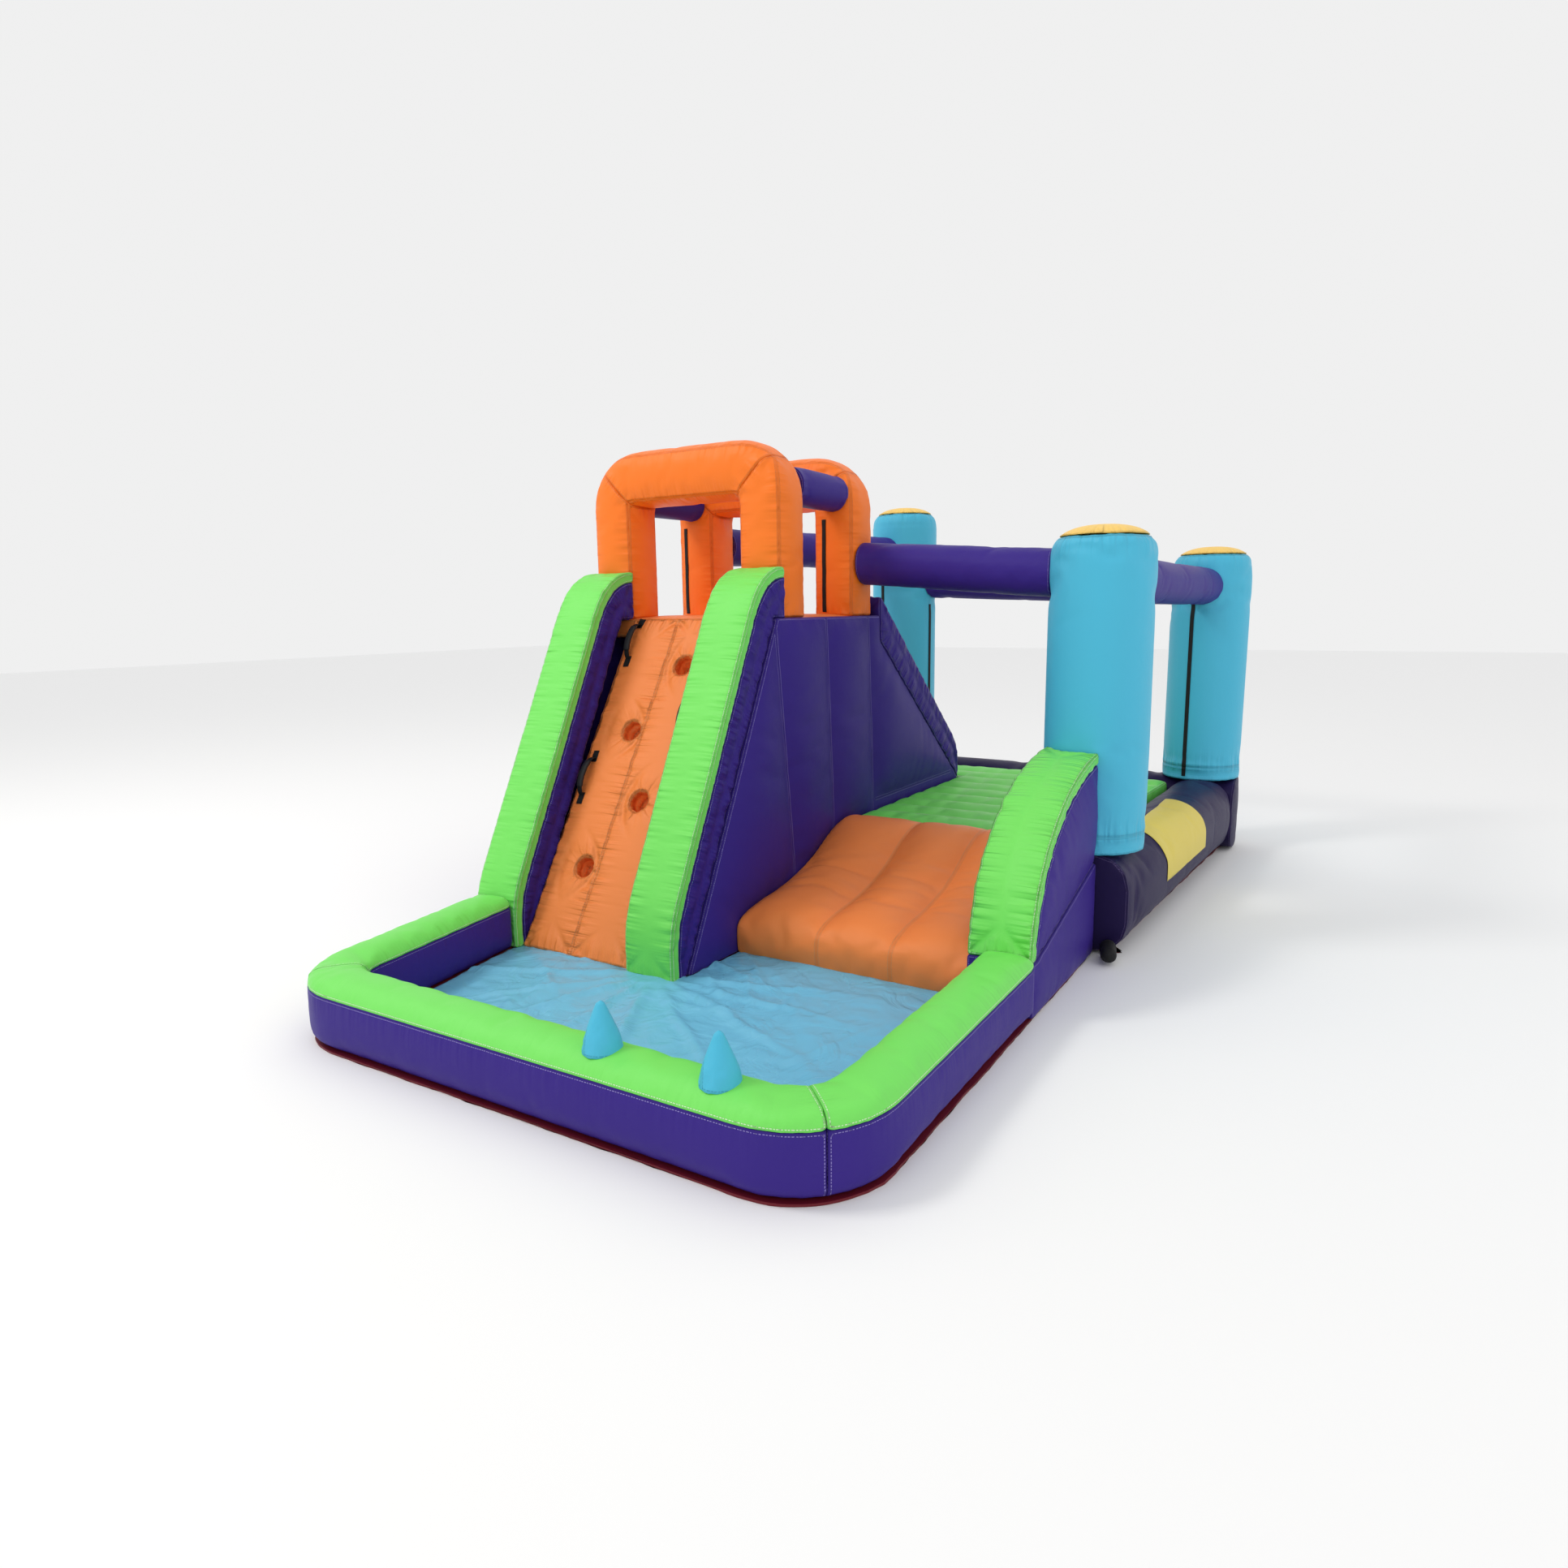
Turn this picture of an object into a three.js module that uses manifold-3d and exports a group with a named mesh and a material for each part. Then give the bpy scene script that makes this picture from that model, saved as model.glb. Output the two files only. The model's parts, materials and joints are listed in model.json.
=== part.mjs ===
// Inflatable bounce house with a splash pool, climbing wall, slide and bounce area.
// Millimetres, +Z up, +Y from the pool towards the bounce area, +X to the right of a child facing it.
// The air-filled tubes are hollow shells, and the sewn panels are flat slabs of one air depth.
import * as THREE from "three";
import { mergeVertices } from "three/addons/utils/BufferGeometryUtils.js";
import Module from "manifold-3d";

const wasm = await Module();
wasm.setup();

// Driving dimensions
const GAP = 0.4; // clearance between pieces that are sewn together
const SHEET = 8; // ground sheet with its doubled hem
const SHEET_MARGIN = 12; // how far the ground sheet shows past the walls
const SHELL = 24; // wall of the hollow air tubes

const POOL_WIDTH = 2190; // outside the pool walls, at the front
const POOL_WALL_W = 196;
const POOL_WALL_H = 240;
const POOL_SEAM_Z = 197; // seam between the lower skirt and the upper cover
const POOL_CORNER = 202; // centre-line radius of the front corners
const POOL_SPLAY = THREE.MathUtils.degToRad(9.6); // the left wall opens out towards the tower
const POOL_RIGHT_END = 1395;
const POOL_LEFT_END = 1018;

const TOWER_LEFT = -203; // outside faces of the tower
const TOWER_RIGHT = 905;
const TOWER_SIDE = 46; // depth of a tower side panel
const CLIMB_LEFT = 52; // the lane between the two bolsters
const CLIMB_RIGHT = 654;
const CLIMB_FOOT = 1066; // where the climbing wall meets the ground
const PLATFORM_FRONT = 1903;
const PLATFORM_REAR = 2812;
const PLATFORM_Z = 1393;
const BOLSTER_OUT = 892; // right face of the right climbing bolster
const COVER = 45; // depth of the coloured cover on a bolster
const SLIDE_FOOT = 3958;

const ARCH_LEFT = -203;
const ARCH_RIGHT = 875;
const ARCH_TUBE = 240;
const ARCH_TOP = 2162;
const ARCH_CORNER = 135; // centre-line radius of the arch corners
const REAR_ARCH_Y = 2573; // front face of the rear arch

const FLOOR_Z = 395; // top of the bounce floor
const WALL_H = 420; // top of the bounce walls, where the posts stand
const WALL_W = 350;
const WALL_ROUND = 130;
const REAR_Y = 4480; // centre line of the rear wall
const RAMP_FOOT = 1455;
const RAMP_RIGHT = 1940;
const POST_R = 211;
const POST_TOP = 1752;
const TALL_POST_TOP = 2086;
const BEAM_R = 103;

// Post centres
const FRONT_RIGHT = new THREE.Vector2(2115, 2400);
const REAR_RIGHT = new THREE.Vector2(2215, REAR_Y);
const REAR_LEFT = new THREE.Vector2(270, REAR_Y);

const COLOURS = {
  green: 0x78e65f,
  purple: 0x3a2a86,
  dark: 0x221a45,
  orange: 0xff7d1e,
  panel: 0xfb8c46,
  cyan: 0x4dbcdc,
  yellow: 0xffd36b,
  tarp: 0x7fcdf0,
  red: 0x7a1a28,
  webbing: 0x161618,
  rubber: 0x2a2a2c,
  label: 0xe3cf5a,
  white: 0xf2f2ee,
};

const model = new THREE.Group();

function add(name, geometry, colour, roughness = 0.55) {
  const material = new THREE.MeshStandardMaterial({
    color: COLOURS[colour],
    roughness,
    metalness: 0,
  });
  const mesh = new THREE.Mesh(geometry, material);
  mesh.name = name;
  model.add(mesh);
  return mesh;
}

// Solids: geometry in, geometry out, with the joins and cuts made in between.
function toSolid(geometry) {
  const bare = geometry.index ? geometry.toNonIndexed() : geometry.clone();
  bare.deleteAttribute("normal");
  bare.deleteAttribute("uv");
  const merged = mergeVertices(bare, 1e-3);
  return new wasm.Manifold(
    new wasm.Mesh({
      numProp: 3,
      vertProperties: merged.attributes.position.array,
      triVerts: new Uint32Array(merged.index.array),
    }),
  );
}

function fromSolid(solid) {
  const mesh = solid.getMesh();
  const geometry = new THREE.BufferGeometry();
  geometry.setAttribute("position", new THREE.BufferAttribute(mesh.vertProperties, 3));
  geometry.setIndex(new THREE.BufferAttribute(mesh.triVerts, 1));
  return geometry;
}

function cut(geometry, ...tools) {
  return fromSolid(tools.reduce((solid, tool) => solid.subtract(toSolid(tool)), toSolid(geometry)));
}

function join(first, second) {
  return fromSolid(toSolid(first).add(toSolid(second)));
}

function box(x0, x1, y0, y1, z0, z1) {
  return new THREE.BoxGeometry(x1 - x0, y1 - y0, z1 - z0).translate(
    (x0 + x1) / 2,
    (y0 + y1) / 2,
    (z0 + z1) / 2,
  );
}

// A side outline, given as (y, z), carried across from x0 to x1.
const SIDE_VIEW = new THREE.Matrix4().makeBasis(
  new THREE.Vector3(0, 1, 0),
  new THREE.Vector3(0, 0, 1),
  new THREE.Vector3(1, 0, 0),
);

function acrossX(shape, x0, x1) {
  const geometry = new THREE.ExtrudeGeometry(shape, {
    depth: x1 - x0,
    bevelEnabled: false,
    curveSegments: 8,
  });
  return geometry.applyMatrix4(SIDE_VIEW).translate(x0, 0, 0);
}

// A plan outline, given as (x, y), carried up from z0 to z1.
function upward(shape, z0, z1) {
  return new THREE.ExtrudeGeometry(shape, {
    depth: z1 - z0,
    bevelEnabled: false,
    curveSegments: 8,
  }).translate(0, 0, z0);
}

function outline(points) {
  return new THREE.Shape(points.map(([a, b]) => new THREE.Vector2(a, b)));
}

// A line of points moved sideways, to its right as it runs, by a distance.
function offsetLine(points, distance) {
  return points.map((point, i) => {
    const before = points[Math.max(i - 1, 0)];
    const after = points[Math.min(i + 1, points.length - 1)];
    const along = after.clone().sub(before).normalize();
    return new THREE.Vector2(point.x + along.y * distance, point.y - along.x * distance);
  });
}

// Tubes: a section (side, up) is carried through stations, and a hollow tube has an inner section.
function roundedSection(width, height, radius, perCorner = 4) {
  const points = [];
  for (const [sideSign, upSign, start] of [
    [1, -1, -90],
    [1, 1, 0],
    [-1, 1, 90],
    [-1, -1, 180],
  ]) {
    for (let i = 0; i < perCorner; i++) {
      const angle = THREE.MathUtils.degToRad(start + (90 * i) / (perCorner - 1));
      points.push([
        sideSign * (width / 2 - radius) + radius * Math.cos(angle),
        upSign * (height / 2 - radius) + radius * Math.sin(angle),
      ]);
    }
  }
  return points;
}

function ringAt(station, section) {
  return section.map(([side, up]) =>
    station.origin
      .clone()
      .addScaledVector(station.side, side)
      .addScaledVector(station.up, up),
  );
}

function loft(rings, innerRings) {
  const count = rings[0].length;
  const last = rings.length - 1;
  const corners = [];
  const quad = (a, b, c, d) => corners.push(a, b, c, a, c, d);
  const walls = (list, inward) => {
    for (let r = 0; r < last; r++) {
      for (let i = 0; i < count; i++) {
        const j = (i + 1) % count;
        const face = [list[r][i], list[r][j], list[r + 1][j], list[r + 1][i]];
        quad(...(inward ? face.reverse() : face));
      }
    }
  };
  walls(rings, false);
  if (innerRings) {
    walls(innerRings, true);
    for (let i = 0; i < count; i++) {
      const j = (i + 1) % count;
      quad(rings[0][j], rings[0][i], innerRings[0][i], innerRings[0][j]);
      quad(rings[last][i], rings[last][j], innerRings[last][j], innerRings[last][i]);
    }
  } else {
    for (let i = 1; i < count - 1; i++) {
      corners.push(rings[0][0], rings[0][i + 1], rings[0][i]);
      corners.push(rings[last][0], rings[last][i], rings[last][i + 1]);
    }
  }
  const geometry = new THREE.BufferGeometry().setFromPoints(corners);
  return facingOut(geometry);
}

// A loft drawn through left-handed stations comes out inside out, and is turned here.
function facingOut(geometry) {
  const p = geometry.attributes.position;
  const [a, b, c] = [new THREE.Vector3(), new THREE.Vector3(), new THREE.Vector3()];
  let volume = 0;
  for (let i = 0; i < p.count; i += 3) {
    a.fromBufferAttribute(p, i);
    b.fromBufferAttribute(p, i + 1);
    c.fromBufferAttribute(p, i + 2);
    volume += a.dot(b.cross(c));
  }
  if (volume > 0) return geometry;
  for (let i = 0; i < p.count; i += 3) {
    b.fromBufferAttribute(p, i + 1);
    c.fromBufferAttribute(p, i + 2);
    p.setXYZ(i + 1, c.x, c.y, c.z);
    p.setXYZ(i + 2, b.x, b.y, b.z);
  }
  return geometry;
}

function sweep(stations, section, innerSection) {
  return loft(
    stations.map((s) => ringAt(s, section)),
    innerSection && stations.map((s) => ringAt(s, innerSection)),
  );
}

// The panel that closes a hollow tube at its first station.
function endPanel([first, second], section) {
  const ahead = second.origin.clone().sub(first.origin).setLength(SHELL);
  const inner = { ...first, origin: first.origin.clone().add(ahead) };
  return sweep([first, inner], section);
}

// A path drawn by walking: forward in a line, and turning along an arc of a radius.
function walk(start, heading, place) {
  const stations = [];
  const at = { u: start[0], v: start[1], heading };
  const mark = () => stations.push(place(at.u, at.v, at.heading));
  const walker = {
    stations,
    forward(length) {
      at.u += length * Math.cos(at.heading);
      at.v += length * Math.sin(at.heading);
      mark();
      return walker;
    },
    turn(angle, radius, steps = 4) {
      const bend = Math.sign(angle) * radius;
      const centre = [at.u - bend * Math.sin(at.heading), at.v + bend * Math.cos(at.heading)];
      for (let i = 0; i < steps; i++) {
        at.heading += angle / steps;
        at.u = centre[0] + bend * Math.sin(at.heading);
        at.v = centre[1] - bend * Math.cos(at.heading);
        mark();
      }
      return walker;
    },
  };
  mark();
  return walker;
}

const inPlan = (z) => (u, v, heading) => ({
  origin: new THREE.Vector3(u, v, z),
  side: new THREE.Vector3(-Math.sin(heading), Math.cos(heading), 0),
  up: new THREE.Vector3(0, 0, 1),
});

const inElevation = (y) => (u, v, heading) => ({
  origin: new THREE.Vector3(u, y, v),
  side: new THREE.Vector3(-Math.sin(heading), 0, Math.cos(heading)),
  up: new THREE.Vector3(0, -1, 0),
});

// A straight tube between two points, with its section's up as near +Z as it can be.
function stationsOn(from, to) {
  const along = to.clone().sub(from).normalize();
  const side = new THREE.Vector3(0, 0, 1).cross(along).normalize();
  const up = along.clone().cross(side);
  return [from, to].map((origin) => ({ origin, side, up }));
}

function straight(from, to, section, innerSection) {
  return sweep(stationsOn(from, to), section, innerSection);
}

// Ground sheet: one coated sheet under the whole house, seen as a hem along the foot of the walls.
const WALL_LEAN = (REAR_RIGHT.x - FRONT_RIGHT.x - 4) / (REAR_Y - FRONT_RIGHT.y);
const WALL_OFFSET = 37; // the right wall's centre line stands outside the front post's centre
const wallCentreX = (y) => FRONT_RIGHT.x + WALL_OFFSET + WALL_LEAN * (y - FRONT_RIGHT.y);
const SIDE_BASE_RIGHT = 2186;
const WALL_FRONT = 2205;
const MIDLINE = POOL_WALL_W / 2;
const POOL_CENTRE_LEFT = MIDLINE + POOL_CORNER * Math.tan((Math.PI / 2 - POOL_SPLAY) / 2);
const REAR_OUT = REAR_Y + WALL_W / 2;
const REAR_WALL_RIGHT = wallCentreX(REAR_Y) + WALL_W / 2;

function groundSheet() {
  const m = SHEET_MARGIN;
  const corner = POOL_CORNER + MIDLINE + m;
  const middle = POOL_CORNER + MIDLINE;
  const wallEnd = POOL_CENTRE_LEFT - corner * Math.cos(POOL_SPLAY);
  const run = POOL_LEFT_END - middle + corner * Math.sin(POOL_SPLAY);
  const shape = new THREE.Shape();
  shape.moveTo(TOWER_LEFT - m, REAR_OUT + m);
  shape.lineTo(TOWER_LEFT - m, CLIMB_FOOT - 38);
  shape.lineTo(wallEnd - run * Math.tan(POOL_SPLAY), POOL_LEFT_END);
  shape.absarc(POOL_CENTRE_LEFT, middle, corner, Math.PI + POOL_SPLAY, 1.5 * Math.PI, false);
  shape.absarc(POOL_WIDTH - middle, middle, corner, 1.5 * Math.PI, 2 * Math.PI, false);
  shape.lineTo(POOL_WIDTH + m, WALL_FRONT - m);
  shape.lineTo(wallCentreX(WALL_FRONT) + WALL_W / 2, WALL_FRONT - m);
  shape.lineTo(REAR_WALL_RIGHT + m, REAR_Y);
  shape.quadraticCurveTo(REAR_WALL_RIGHT + m, REAR_OUT + m, REAR_WALL_RIGHT - 160, REAR_OUT + m);
  add("ground_sheet", upward(shape, 0, SHEET), "red", 0.6);
}
groundSheet();

// Splash pool: a U of air tube, sewn from a lower skirt and an upper cover, round a sheet floor.
const POOL_BASE = SHEET + GAP;

function poolPaths() {
  const leftHeading = -Math.PI / 2 + POOL_SPLAY;
  const middle = POOL_CORNER + MIDLINE;
  const arcStart = [
    POOL_CENTRE_LEFT - POOL_CORNER * Math.cos(POOL_SPLAY),
    middle - POOL_CORNER * Math.sin(POOL_SPLAY),
  ];
  const leftLength = (POOL_LEFT_END - arcStart[1]) / Math.cos(POOL_SPLAY);
  const leftStart = [arcStart[0] - leftLength * Math.sin(POOL_SPLAY), POOL_LEFT_END];
  const halfTurn = (Math.PI / 2 - POOL_SPLAY) / 2;
  const point = (angle, x) => [
    x + POOL_CORNER * Math.cos(angle),
    middle + POOL_CORNER * Math.sin(angle),
  ];
  const mitre = 0.25 / POOL_CORNER; // half of the slit between two mitred ends
  const leftMitre = Math.PI + POOL_SPLAY + halfTurn;
  const rightMitre = 1.75 * Math.PI;
  return {
    left: (z) =>
      walk(leftStart, leftHeading, inPlan(z))
        .forward(leftLength)
        .turn(halfTurn - mitre, POOL_CORNER).stations,
    front: (z) =>
      walk(point(leftMitre + mitre, POOL_CENTRE_LEFT), leftMitre - 1.5 * Math.PI + mitre, inPlan(z))
        .turn(halfTurn - mitre, POOL_CORNER)
        .forward(POOL_WIDTH - middle - POOL_CENTRE_LEFT)
        .turn(Math.PI / 4 - mitre, POOL_CORNER).stations,
    right: (z) =>
      walk(point(rightMitre + mitre, POOL_WIDTH - middle), Math.PI / 4 + mitre, inPlan(z))
        .turn(Math.PI / 4 - mitre, POOL_CORNER)
        .forward(POOL_RIGHT_END - middle).stations,
  };
}

// Skirt: flat top at the seam, sides that bulge a little, rounded foot.
function skirtSection(inset) {
  const half = MIDLINE - inset;
  const low = POOL_BASE + inset;
  const high = POOL_SEAM_Z - GAP - inset;
  const foot = 26;
  return [
    [half, high],
    [-half, high],
    [-half, low + foot],
    [-half + foot, low],
    [half - foot, low],
    [half, low + foot],
  ];
}

// Cover: a flattened half round over the skirt.
function coverSection() {
  const points = [];
  for (let i = 0; i <= 10; i++) {
    const angle = (Math.PI * i) / 10;
    points.push([
      MIDLINE * Math.sign(Math.cos(angle)) * Math.abs(Math.cos(angle)) ** 0.6,
      POOL_SEAM_Z + (POOL_WALL_H - POOL_SEAM_Z) * Math.sin(angle) ** 0.6,
    ]);
  }
  return points;
}

for (const [side, path] of Object.entries(poolPaths())) {
  const skirt = sweep(path(0), skirtSection(0), skirtSection(SHELL));
  const closed = side === "left" ? join(skirt, endPanel(path(0), skirtSection(0))) : skirt;
  add(`pool_skirt_${side}`, closed, "purple");
  add(`pool_cover_${side}`, sweep(path(0), coverSection()), "green");
}

const TARP = 4;
const POOL_FLOOR_RIGHT = POOL_WIDTH - POOL_WALL_W - GAP;
function poolFloor() {
  const inner = POOL_WALL_W + 4;
  const inside = (y) => inner + 2 - (y - MIDLINE) * Math.tan(POOL_SPLAY);
  const rearLeft = POOL_LEFT_END + 22;
  const underBolster = CLIMB_FOOT + 40;
  const shape = new THREE.Shape();
  shape.moveTo(inside(rearLeft), rearLeft);
  shape.lineTo(inside(inner + 100), inner + 100);
  shape.quadraticCurveTo(inside(inner), inner, inner + 130, inner);
  shape.lineTo(POOL_FLOOR_RIGHT - 120, inner);
  shape.quadraticCurveTo(POOL_FLOOR_RIGHT, inner, POOL_FLOOR_RIGHT, inner + 120);
  shape.lineTo(POOL_FLOOR_RIGHT, POOL_RIGHT_END);
  shape.lineTo(RAMP_RIGHT, POOL_RIGHT_END);
  shape.lineTo(RAMP_RIGHT, RAMP_FOOT + 30);
  shape.lineTo(TOWER_RIGHT + 5, RAMP_FOOT + 30);
  shape.lineTo(TOWER_RIGHT + 5, underBolster);
  shape.lineTo(CLIMB_LEFT, underBolster);
  shape.lineTo(CLIMB_LEFT, rearLeft);
  add("pool_floor", upward(shape, POOL_BASE, POOL_BASE + TARP), "tarp", 0.35);
}
poolFloor();

// Two soft cones that stand on the front wall, over the spray holes.
const CONE_Y = 88;
const CONE_R = 59;
const CONE_H = 146;
for (const [side, x] of [
  ["left", 1395],
  ["right", 1790],
]) {
  const profile = [
    [0, 0],
    [CONE_R, 0],
    [CONE_R * 0.86, CONE_H * 0.28],
    [CONE_R * 0.2, CONE_H * 0.94],
    [0, CONE_H],
  ].map(([r, z]) => new THREE.Vector2(r, z));
  const cone = new THREE.LatheGeometry(profile, 20)
    .rotateX(Math.PI / 2)
    .translate(x, CONE_Y, POOL_WALL_H + GAP);
  add(`spray_cone_${side}`, cone, "cyan");
}

// Climbing wall: a sloped air panel with four foot pockets, between two bolsters.
const CLIMB_RUN = PLATFORM_FRONT - CLIMB_FOOT;
const CLIMB_SLOPE = Math.atan2(PLATFORM_Z, CLIMB_RUN);
const CLIMB_DEPTH = 120;
const CLIMB_ALONG = new THREE.Vector3(0, Math.cos(CLIMB_SLOPE), Math.sin(CLIMB_SLOPE));
const CLIMB_OUT = new THREE.Vector3(0, -Math.sin(CLIMB_SLOPE), Math.cos(CLIMB_SLOPE));
const onClimb = (x, along, proud = 0) =>
  new THREE.Vector3(x, CLIMB_FOOT, 0)
    .addScaledVector(CLIMB_ALONG, along)
    .addScaledVector(CLIMB_OUT, proud);

const POCKET_R = 52;
const POCKET_DEPTH = 84;
const POCKETS = [
  [243, 400],
  [421, 723],
  [253, 1050],
  [426, 1383],
];

function climbingWall() {
  const level = (y) => (y - CLIMB_FOOT) * Math.tan(CLIMB_SLOPE);
  const back = CLIMB_DEPTH / Math.sin(CLIMB_SLOPE);
  const head = PLATFORM_FRONT - 2 * GAP;
  const foot = POOL_BASE + TARP + GAP;
  const footY = CLIMB_FOOT + foot / Math.tan(CLIMB_SLOPE);
  const wall = acrossX(
    outline([
      [footY, foot],
      [footY + back, foot],
      [head, level(head - back)],
      [head, level(head)],
    ]),
    CLIMB_LEFT,
    CLIMB_RIGHT,
  );
  const pockets = POCKETS.map(([x, along]) => {
    const upright = new THREE.Vector3(0, 1, 0);
    const turn = new THREE.Quaternion().setFromUnitVectors(upright, CLIMB_OUT);
    const centre = onClimb(x, along, 0);
    return new THREE.CylinderGeometry(POCKET_R, POCKET_R * 0.9, 2 * POCKET_DEPTH, 16)
      .applyQuaternion(turn)
      .translate(centre.x, centre.y, centre.z);
  });
  add("climbing_wall", cut(wall, ...pockets), "panel");
}
climbingWall();

// Climbing bolsters: a body with a coloured cover sewn along its front edge.
const BOLSTER_TOP = 1610;
function bolsterFront() {
  const path = new THREE.Path();
  const foot = POOL_BASE + TARP + GAP;
  path.moveTo(CLIMB_FOOT - 26, foot);
  path.lineTo(CLIMB_FOOT - 26, 110);
  path.quadraticCurveTo(CLIMB_FOOT - 26, 225, 1090, 328);
  path.lineTo(1620, 1402);
  path.quadraticCurveTo(1722, BOLSTER_TOP - 2, PLATFORM_FRONT - GAP, BOLSTER_TOP);
  return path.getPoints(6);
}

function climbBolsters() {
  const front = bolsterFront();
  const inner = offsetLine(front, COVER);
  const body = offsetLine(front, COVER + GAP);
  const foot = front[0].y;
  const head = PLATFORM_FRONT - GAP;
  const trim = (points) =>
    points.map((p) => new THREE.Vector2(Math.min(p.x, head), Math.max(p.y, foot)));
  const crease = new THREE.Vector2(CLIMB_FOOT + 60, foot);
  const creaseTop = new THREE.Vector2(1816, PLATFORM_Z + GAP);
  const coverShape = new THREE.Shape([...front, ...trim(inner).reverse()]);
  const bodyShape = new THREE.Shape([
    ...trim(body),
    new THREE.Vector2(head, creaseTop.y),
    creaseTop,
    crease,
  ]);
  for (const [side, x0, x1] of [
    ["left", TOWER_LEFT + 18, CLIMB_LEFT - 2],
    ["right", CLIMB_RIGHT + 2, BOLSTER_OUT],
  ]) {
    add(`climb_bolster_${side}`, acrossX(bodyShape, x0, x1), "purple");
    add(`climb_cover_${side}`, acrossX(coverShape, x0, x1), "green");
  }
}
climbBolsters();

// Tower: two side panels, the platform they carry and two inner webs that hold its shape.
const SLIDE_EDGE = [
  [PLATFORM_REAR, 1262],
  [3905, FLOOR_Z],
];
function towerBody() {
  const side = outline([
    [CLIMB_FOOT + 65, POOL_BASE + TARP + GAP],
    [SLIDE_EDGE[1][0], POOL_BASE + TARP + GAP],
    SLIDE_EDGE[1],
    SLIDE_EDGE[0],
    [PLATFORM_REAR, PLATFORM_Z - 1],
    [1822, PLATFORM_Z - 1],
  ]);
  add("tower_side_left", acrossX(side, TOWER_LEFT, TOWER_LEFT + TOWER_SIDE), "purple");
  add("tower_side_right", acrossX(side, TOWER_RIGHT - TOWER_SIDE, TOWER_RIGHT), "purple");
  const inLeft = TOWER_LEFT + TOWER_SIDE + GAP;
  const inRight = TOWER_RIGHT - TOWER_SIDE - GAP;
  const platform = box(inLeft, inRight, PLATFORM_FRONT, PLATFORM_REAR, 1310, PLATFORM_Z - 1);
  add("platform", platform, "panel");
  const web = 4;
  for (const [name, y] of [
    ["front", 2150],
    ["rear", 2580],
  ]) {
    const shape = outline([
      [inLeft, POOL_BASE],
      [inRight, POOL_BASE],
      [inRight, 1300],
      [inLeft, 1300],
    ]);
    for (const [x, z] of [
      [120, 350],
      [580, 350],
      [120, 900],
      [580, 900],
    ]) {
      shape.holes.push(new THREE.Path().absarc(x, z, 70, 0, 2 * Math.PI, true));
    }
    const panel = upward(shape, -web / 2, web / 2)
      .rotateX(Math.PI / 2)
      .translate(0, y, 0);
    add(`tower_web_${name}`, panel, "white");
  }
}
towerBody();

// Slide: an air panel down to the bounce area, between two bolsters on the tower's sloped edges.
function slide() {
  const top = PLATFORM_Z - 17;
  const depth = 104; // measured straight down
  const y0 = PLATFORM_REAR + 2;
  const bed = outline([
    [y0, top - depth],
    [SLIDE_FOOT, FLOOR_Z + 3 - depth],
    [SLIDE_FOOT, FLOOR_Z + 3],
    [y0, top],
  ]);
  add("slide_bed", acrossX(bed, CLIMB_LEFT, CLIMB_RIGHT), "panel", 0.4);
  const bolster = new THREE.Shape();
  bolster.moveTo(y0, SLIDE_EDGE[0][1] + 2);
  bolster.lineTo(SLIDE_EDGE[1][0], FLOOR_Z + 2);
  bolster.lineTo(SLIDE_EDGE[1][0], 470);
  bolster.quadraticCurveTo(SLIDE_EDGE[1][0], 590, 3800, 678);
  bolster.lineTo(y0, 1492);
  add("slide_bolster_left", acrossX(bolster, TOWER_LEFT, CLIMB_LEFT - 2), "purple");
  add("slide_bolster_right", acrossX(bolster, CLIMB_RIGHT + 2, TOWER_RIGHT), "purple");
}
slide();

// Arches: square air tubes with mitred corners, one at each end of the platform.
const ARCH_HALF = ARCH_TUBE / 2;
const ARCH_FOOT = PLATFORM_Z + 1;
function arch(name, y) {
  const section = roundedSection(ARCH_TUBE, ARCH_TUBE, 62);
  const inner = roundedSection(ARCH_TUBE - 2 * SHELL, ARCH_TUBE - 2 * SHELL, 62 - SHELL);
  const middle = y + ARCH_HALF;
  const rise = ARCH_TOP - ARCH_HALF - ARCH_CORNER - ARCH_FOOT;
  const mitre = 0.25 / ARCH_CORNER;
  const left = ARCH_LEFT + ARCH_HALF;
  const right = ARCH_RIGHT - ARCH_HALF;
  const eighth = Math.PI / 4 - mitre;
  const corner = (angle, x) => [
    x + ARCH_CORNER * Math.cos(angle),
    ARCH_FOOT + rise + ARCH_CORNER * Math.sin(angle),
  ];
  const legLeft = walk([left, ARCH_FOOT], Math.PI / 2, inElevation(middle))
    .forward(rise)
    .turn(-eighth, ARCH_CORNER).stations;
  const start = corner(0.75 * Math.PI - mitre, left + ARCH_CORNER);
  const top = walk(start, eighth, inElevation(middle))
    .turn(-eighth, ARCH_CORNER)
    .forward(right - left - 2 * ARCH_CORNER)
    .turn(-eighth, ARCH_CORNER).stations;
  const legRight = walk([right, ARCH_FOOT], Math.PI / 2, inElevation(middle))
    .forward(rise)
    .turn(eighth, ARCH_CORNER).stations;
  add(`${name}_arch_leg_left`, sweep(legLeft, section, inner), "orange");
  add(`${name}_arch_top`, sweep(top, section, inner), "orange");
  add(`${name}_arch_leg_right`, sweep(legRight, section, inner), "orange");
}
arch("front", PLATFORM_FRONT);
arch("rear", REAR_ARCH_Y);

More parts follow.
